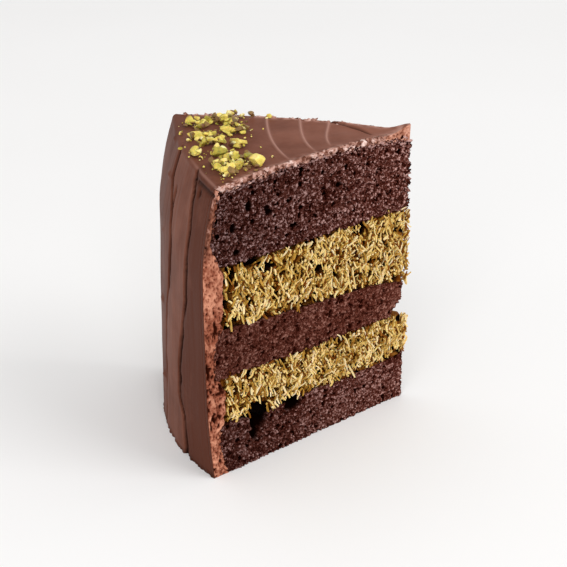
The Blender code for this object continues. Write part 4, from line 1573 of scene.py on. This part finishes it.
def lay_nut(out, turn, length, width, heading, raised=0.0, detail=3, cuts=5, tone=None, brown=0.0):
    """A chopped kernel lying on the frosting, as corners, faces, and its tone and skin; the skin
    is partly painted shade.
    """
    rng = nut_rng
    shell = chopped_kernel(detail, cuts)
    stretch = Matrix.Diagonal((length, width, width * rng.uniform(0.65, 0.95), 1))
    rest = float(top_height(out)) + width * 0.30 + raised
    roll = Matrix.Rotation(rng.uniform(-0.6, 0.6), 4, "X")
    tip_over = roll @ Matrix.Rotation(rng.uniform(-0.35, 0.35), 4, "Y")
    spot = Vector((TIP_X - out * math.cos(turn), out * math.sin(turn), rest))
    lay = Matrix.Translation(spot) @ Matrix.Rotation(heading, 4, "Z") @ tip_over
    corners, faces = settle(shell, stretch, lay)
    # Skin goes on the side that mostly faces down: partly the kernel's real skin, partly painted shade on its
    # underside.
    away = (corners - corners.mean(axis=0)) @ np.array(random_way(-0.8, 0.2)) / width
    skin = np.clip((away - 0.12) * 6, 0, 1) * (rng.random() < 0.75)
    skin = np.maximum(skin, 0.85 * (rng.random() < brown))
    drawn = rng.random()
    return corners, faces, {"tone": np.full(len(corners), drawn if tone is None else tone), "skin": skin}


# %% [markdown]
# Smaller bits lie between the large ones, thickest near them. Each is dropped beside a large
# piece chosen at random, a few millimetres off.

# %% Lay the pieces of nut
MIDDLE_NUTS = 84
WIDEST_TURN = math.radians(25.6)
FURTHEST_OUT = 93 * MM


def beside_a_nut(spread):
    """A place near one of the large pieces, a gaussian draw away from it."""
    out, turn, *_ = nut_rng.choice(NUTS[:-1])
    out = min(out * MM + nut_rng.gauss(0, spread), FURTHEST_OUT)
    turn = math.radians(turn) + nut_rng.gauss(0, spread) / (80 * MM)
    return out, max(-WIDEST_TURN, min(WIDEST_TURN, turn))


def bits_of_nut(count, spread, lengths, widest, highest, cuts, brown):
    """Bits beside the large pieces, with sizes in millimetres and the share that is brown, which is
    partly real skin and partly painted shade between the pieces.
    """
    bits = []
    for _ in range(count):
        out, turn = beside_a_nut(spread * MM)
        length = nut_rng.uniform(*lengths) * MM
        width = length * nut_rng.uniform(0.55, widest)
        raised = nut_rng.uniform(0, highest) * MM
        heading = nut_rng.uniform(0, FULL_TURN)
        bits.append(lay_nut(out, turn, length, width, heading, raised, 2, cuts, brown=brown))
    return bits


parts = []
for out, turn, length, width, heading, tone in NUTS:
    raised = nut_rng.uniform(0, 0.5) * MM
    sizes = (length * MM, width * 1.08 * MM)
    parts.append(lay_nut(out * MM, math.radians(turn), *sizes, math.radians(heading), raised, tone=tone))
parts += bits_of_nut(MIDDLE_NUTS, 2.2, (2.6, 4.8), 0.85, 2.0, 4, 0.22)
make_heap("pistachio_pieces", parts, nut_material, sharp_from=24)

# %% Crumbs of nut
SMALL_NUTS = 150
NUT_CRUMBS = 150
# Single crumbs away from the rest: distance from the tip, turn and size
LONE_CRUMBS = ((91.4, 10.7, 2.2), (65, -19.5, 1.4), (58, 24, 1.6), (66.8, 1.8, 1.2), (64, -9, 1.0))

parts = bits_of_nut(SMALL_NUTS, 2.8, (1.4, 2.8), 0.8, 0.8, 2, 0.45)
for _ in range(NUT_CRUMBS):
    out, turn = beside_a_nut(4.2 * MM)
    length = nut_rng.uniform(0.5, 1.1) * MM
    parts.append(lay_nut(out, turn, length, length * 0.8, nut_rng.uniform(0, FULL_TURN), 0, 1, 1))
for out, turn, size in LONE_CRUMBS:
    parts.append(lay_nut(out * MM, math.radians(turn), size * MM, size * 0.8 * MM, 0.5, 0, 2, 3))
make_heap("pistachio_crumbs", parts, nut_material, sharp_from=24)

# %% [markdown]
# ## Finish
#
# The last cell counts the triangles of every piece that is seen.

# %% Count the triangles
seen = [thing for thing in bpy.data.objects if thing.type == "MESH" and thing.visible_get()]
print(sum(count_triangles(thing) for thing in seen), "triangles in all")
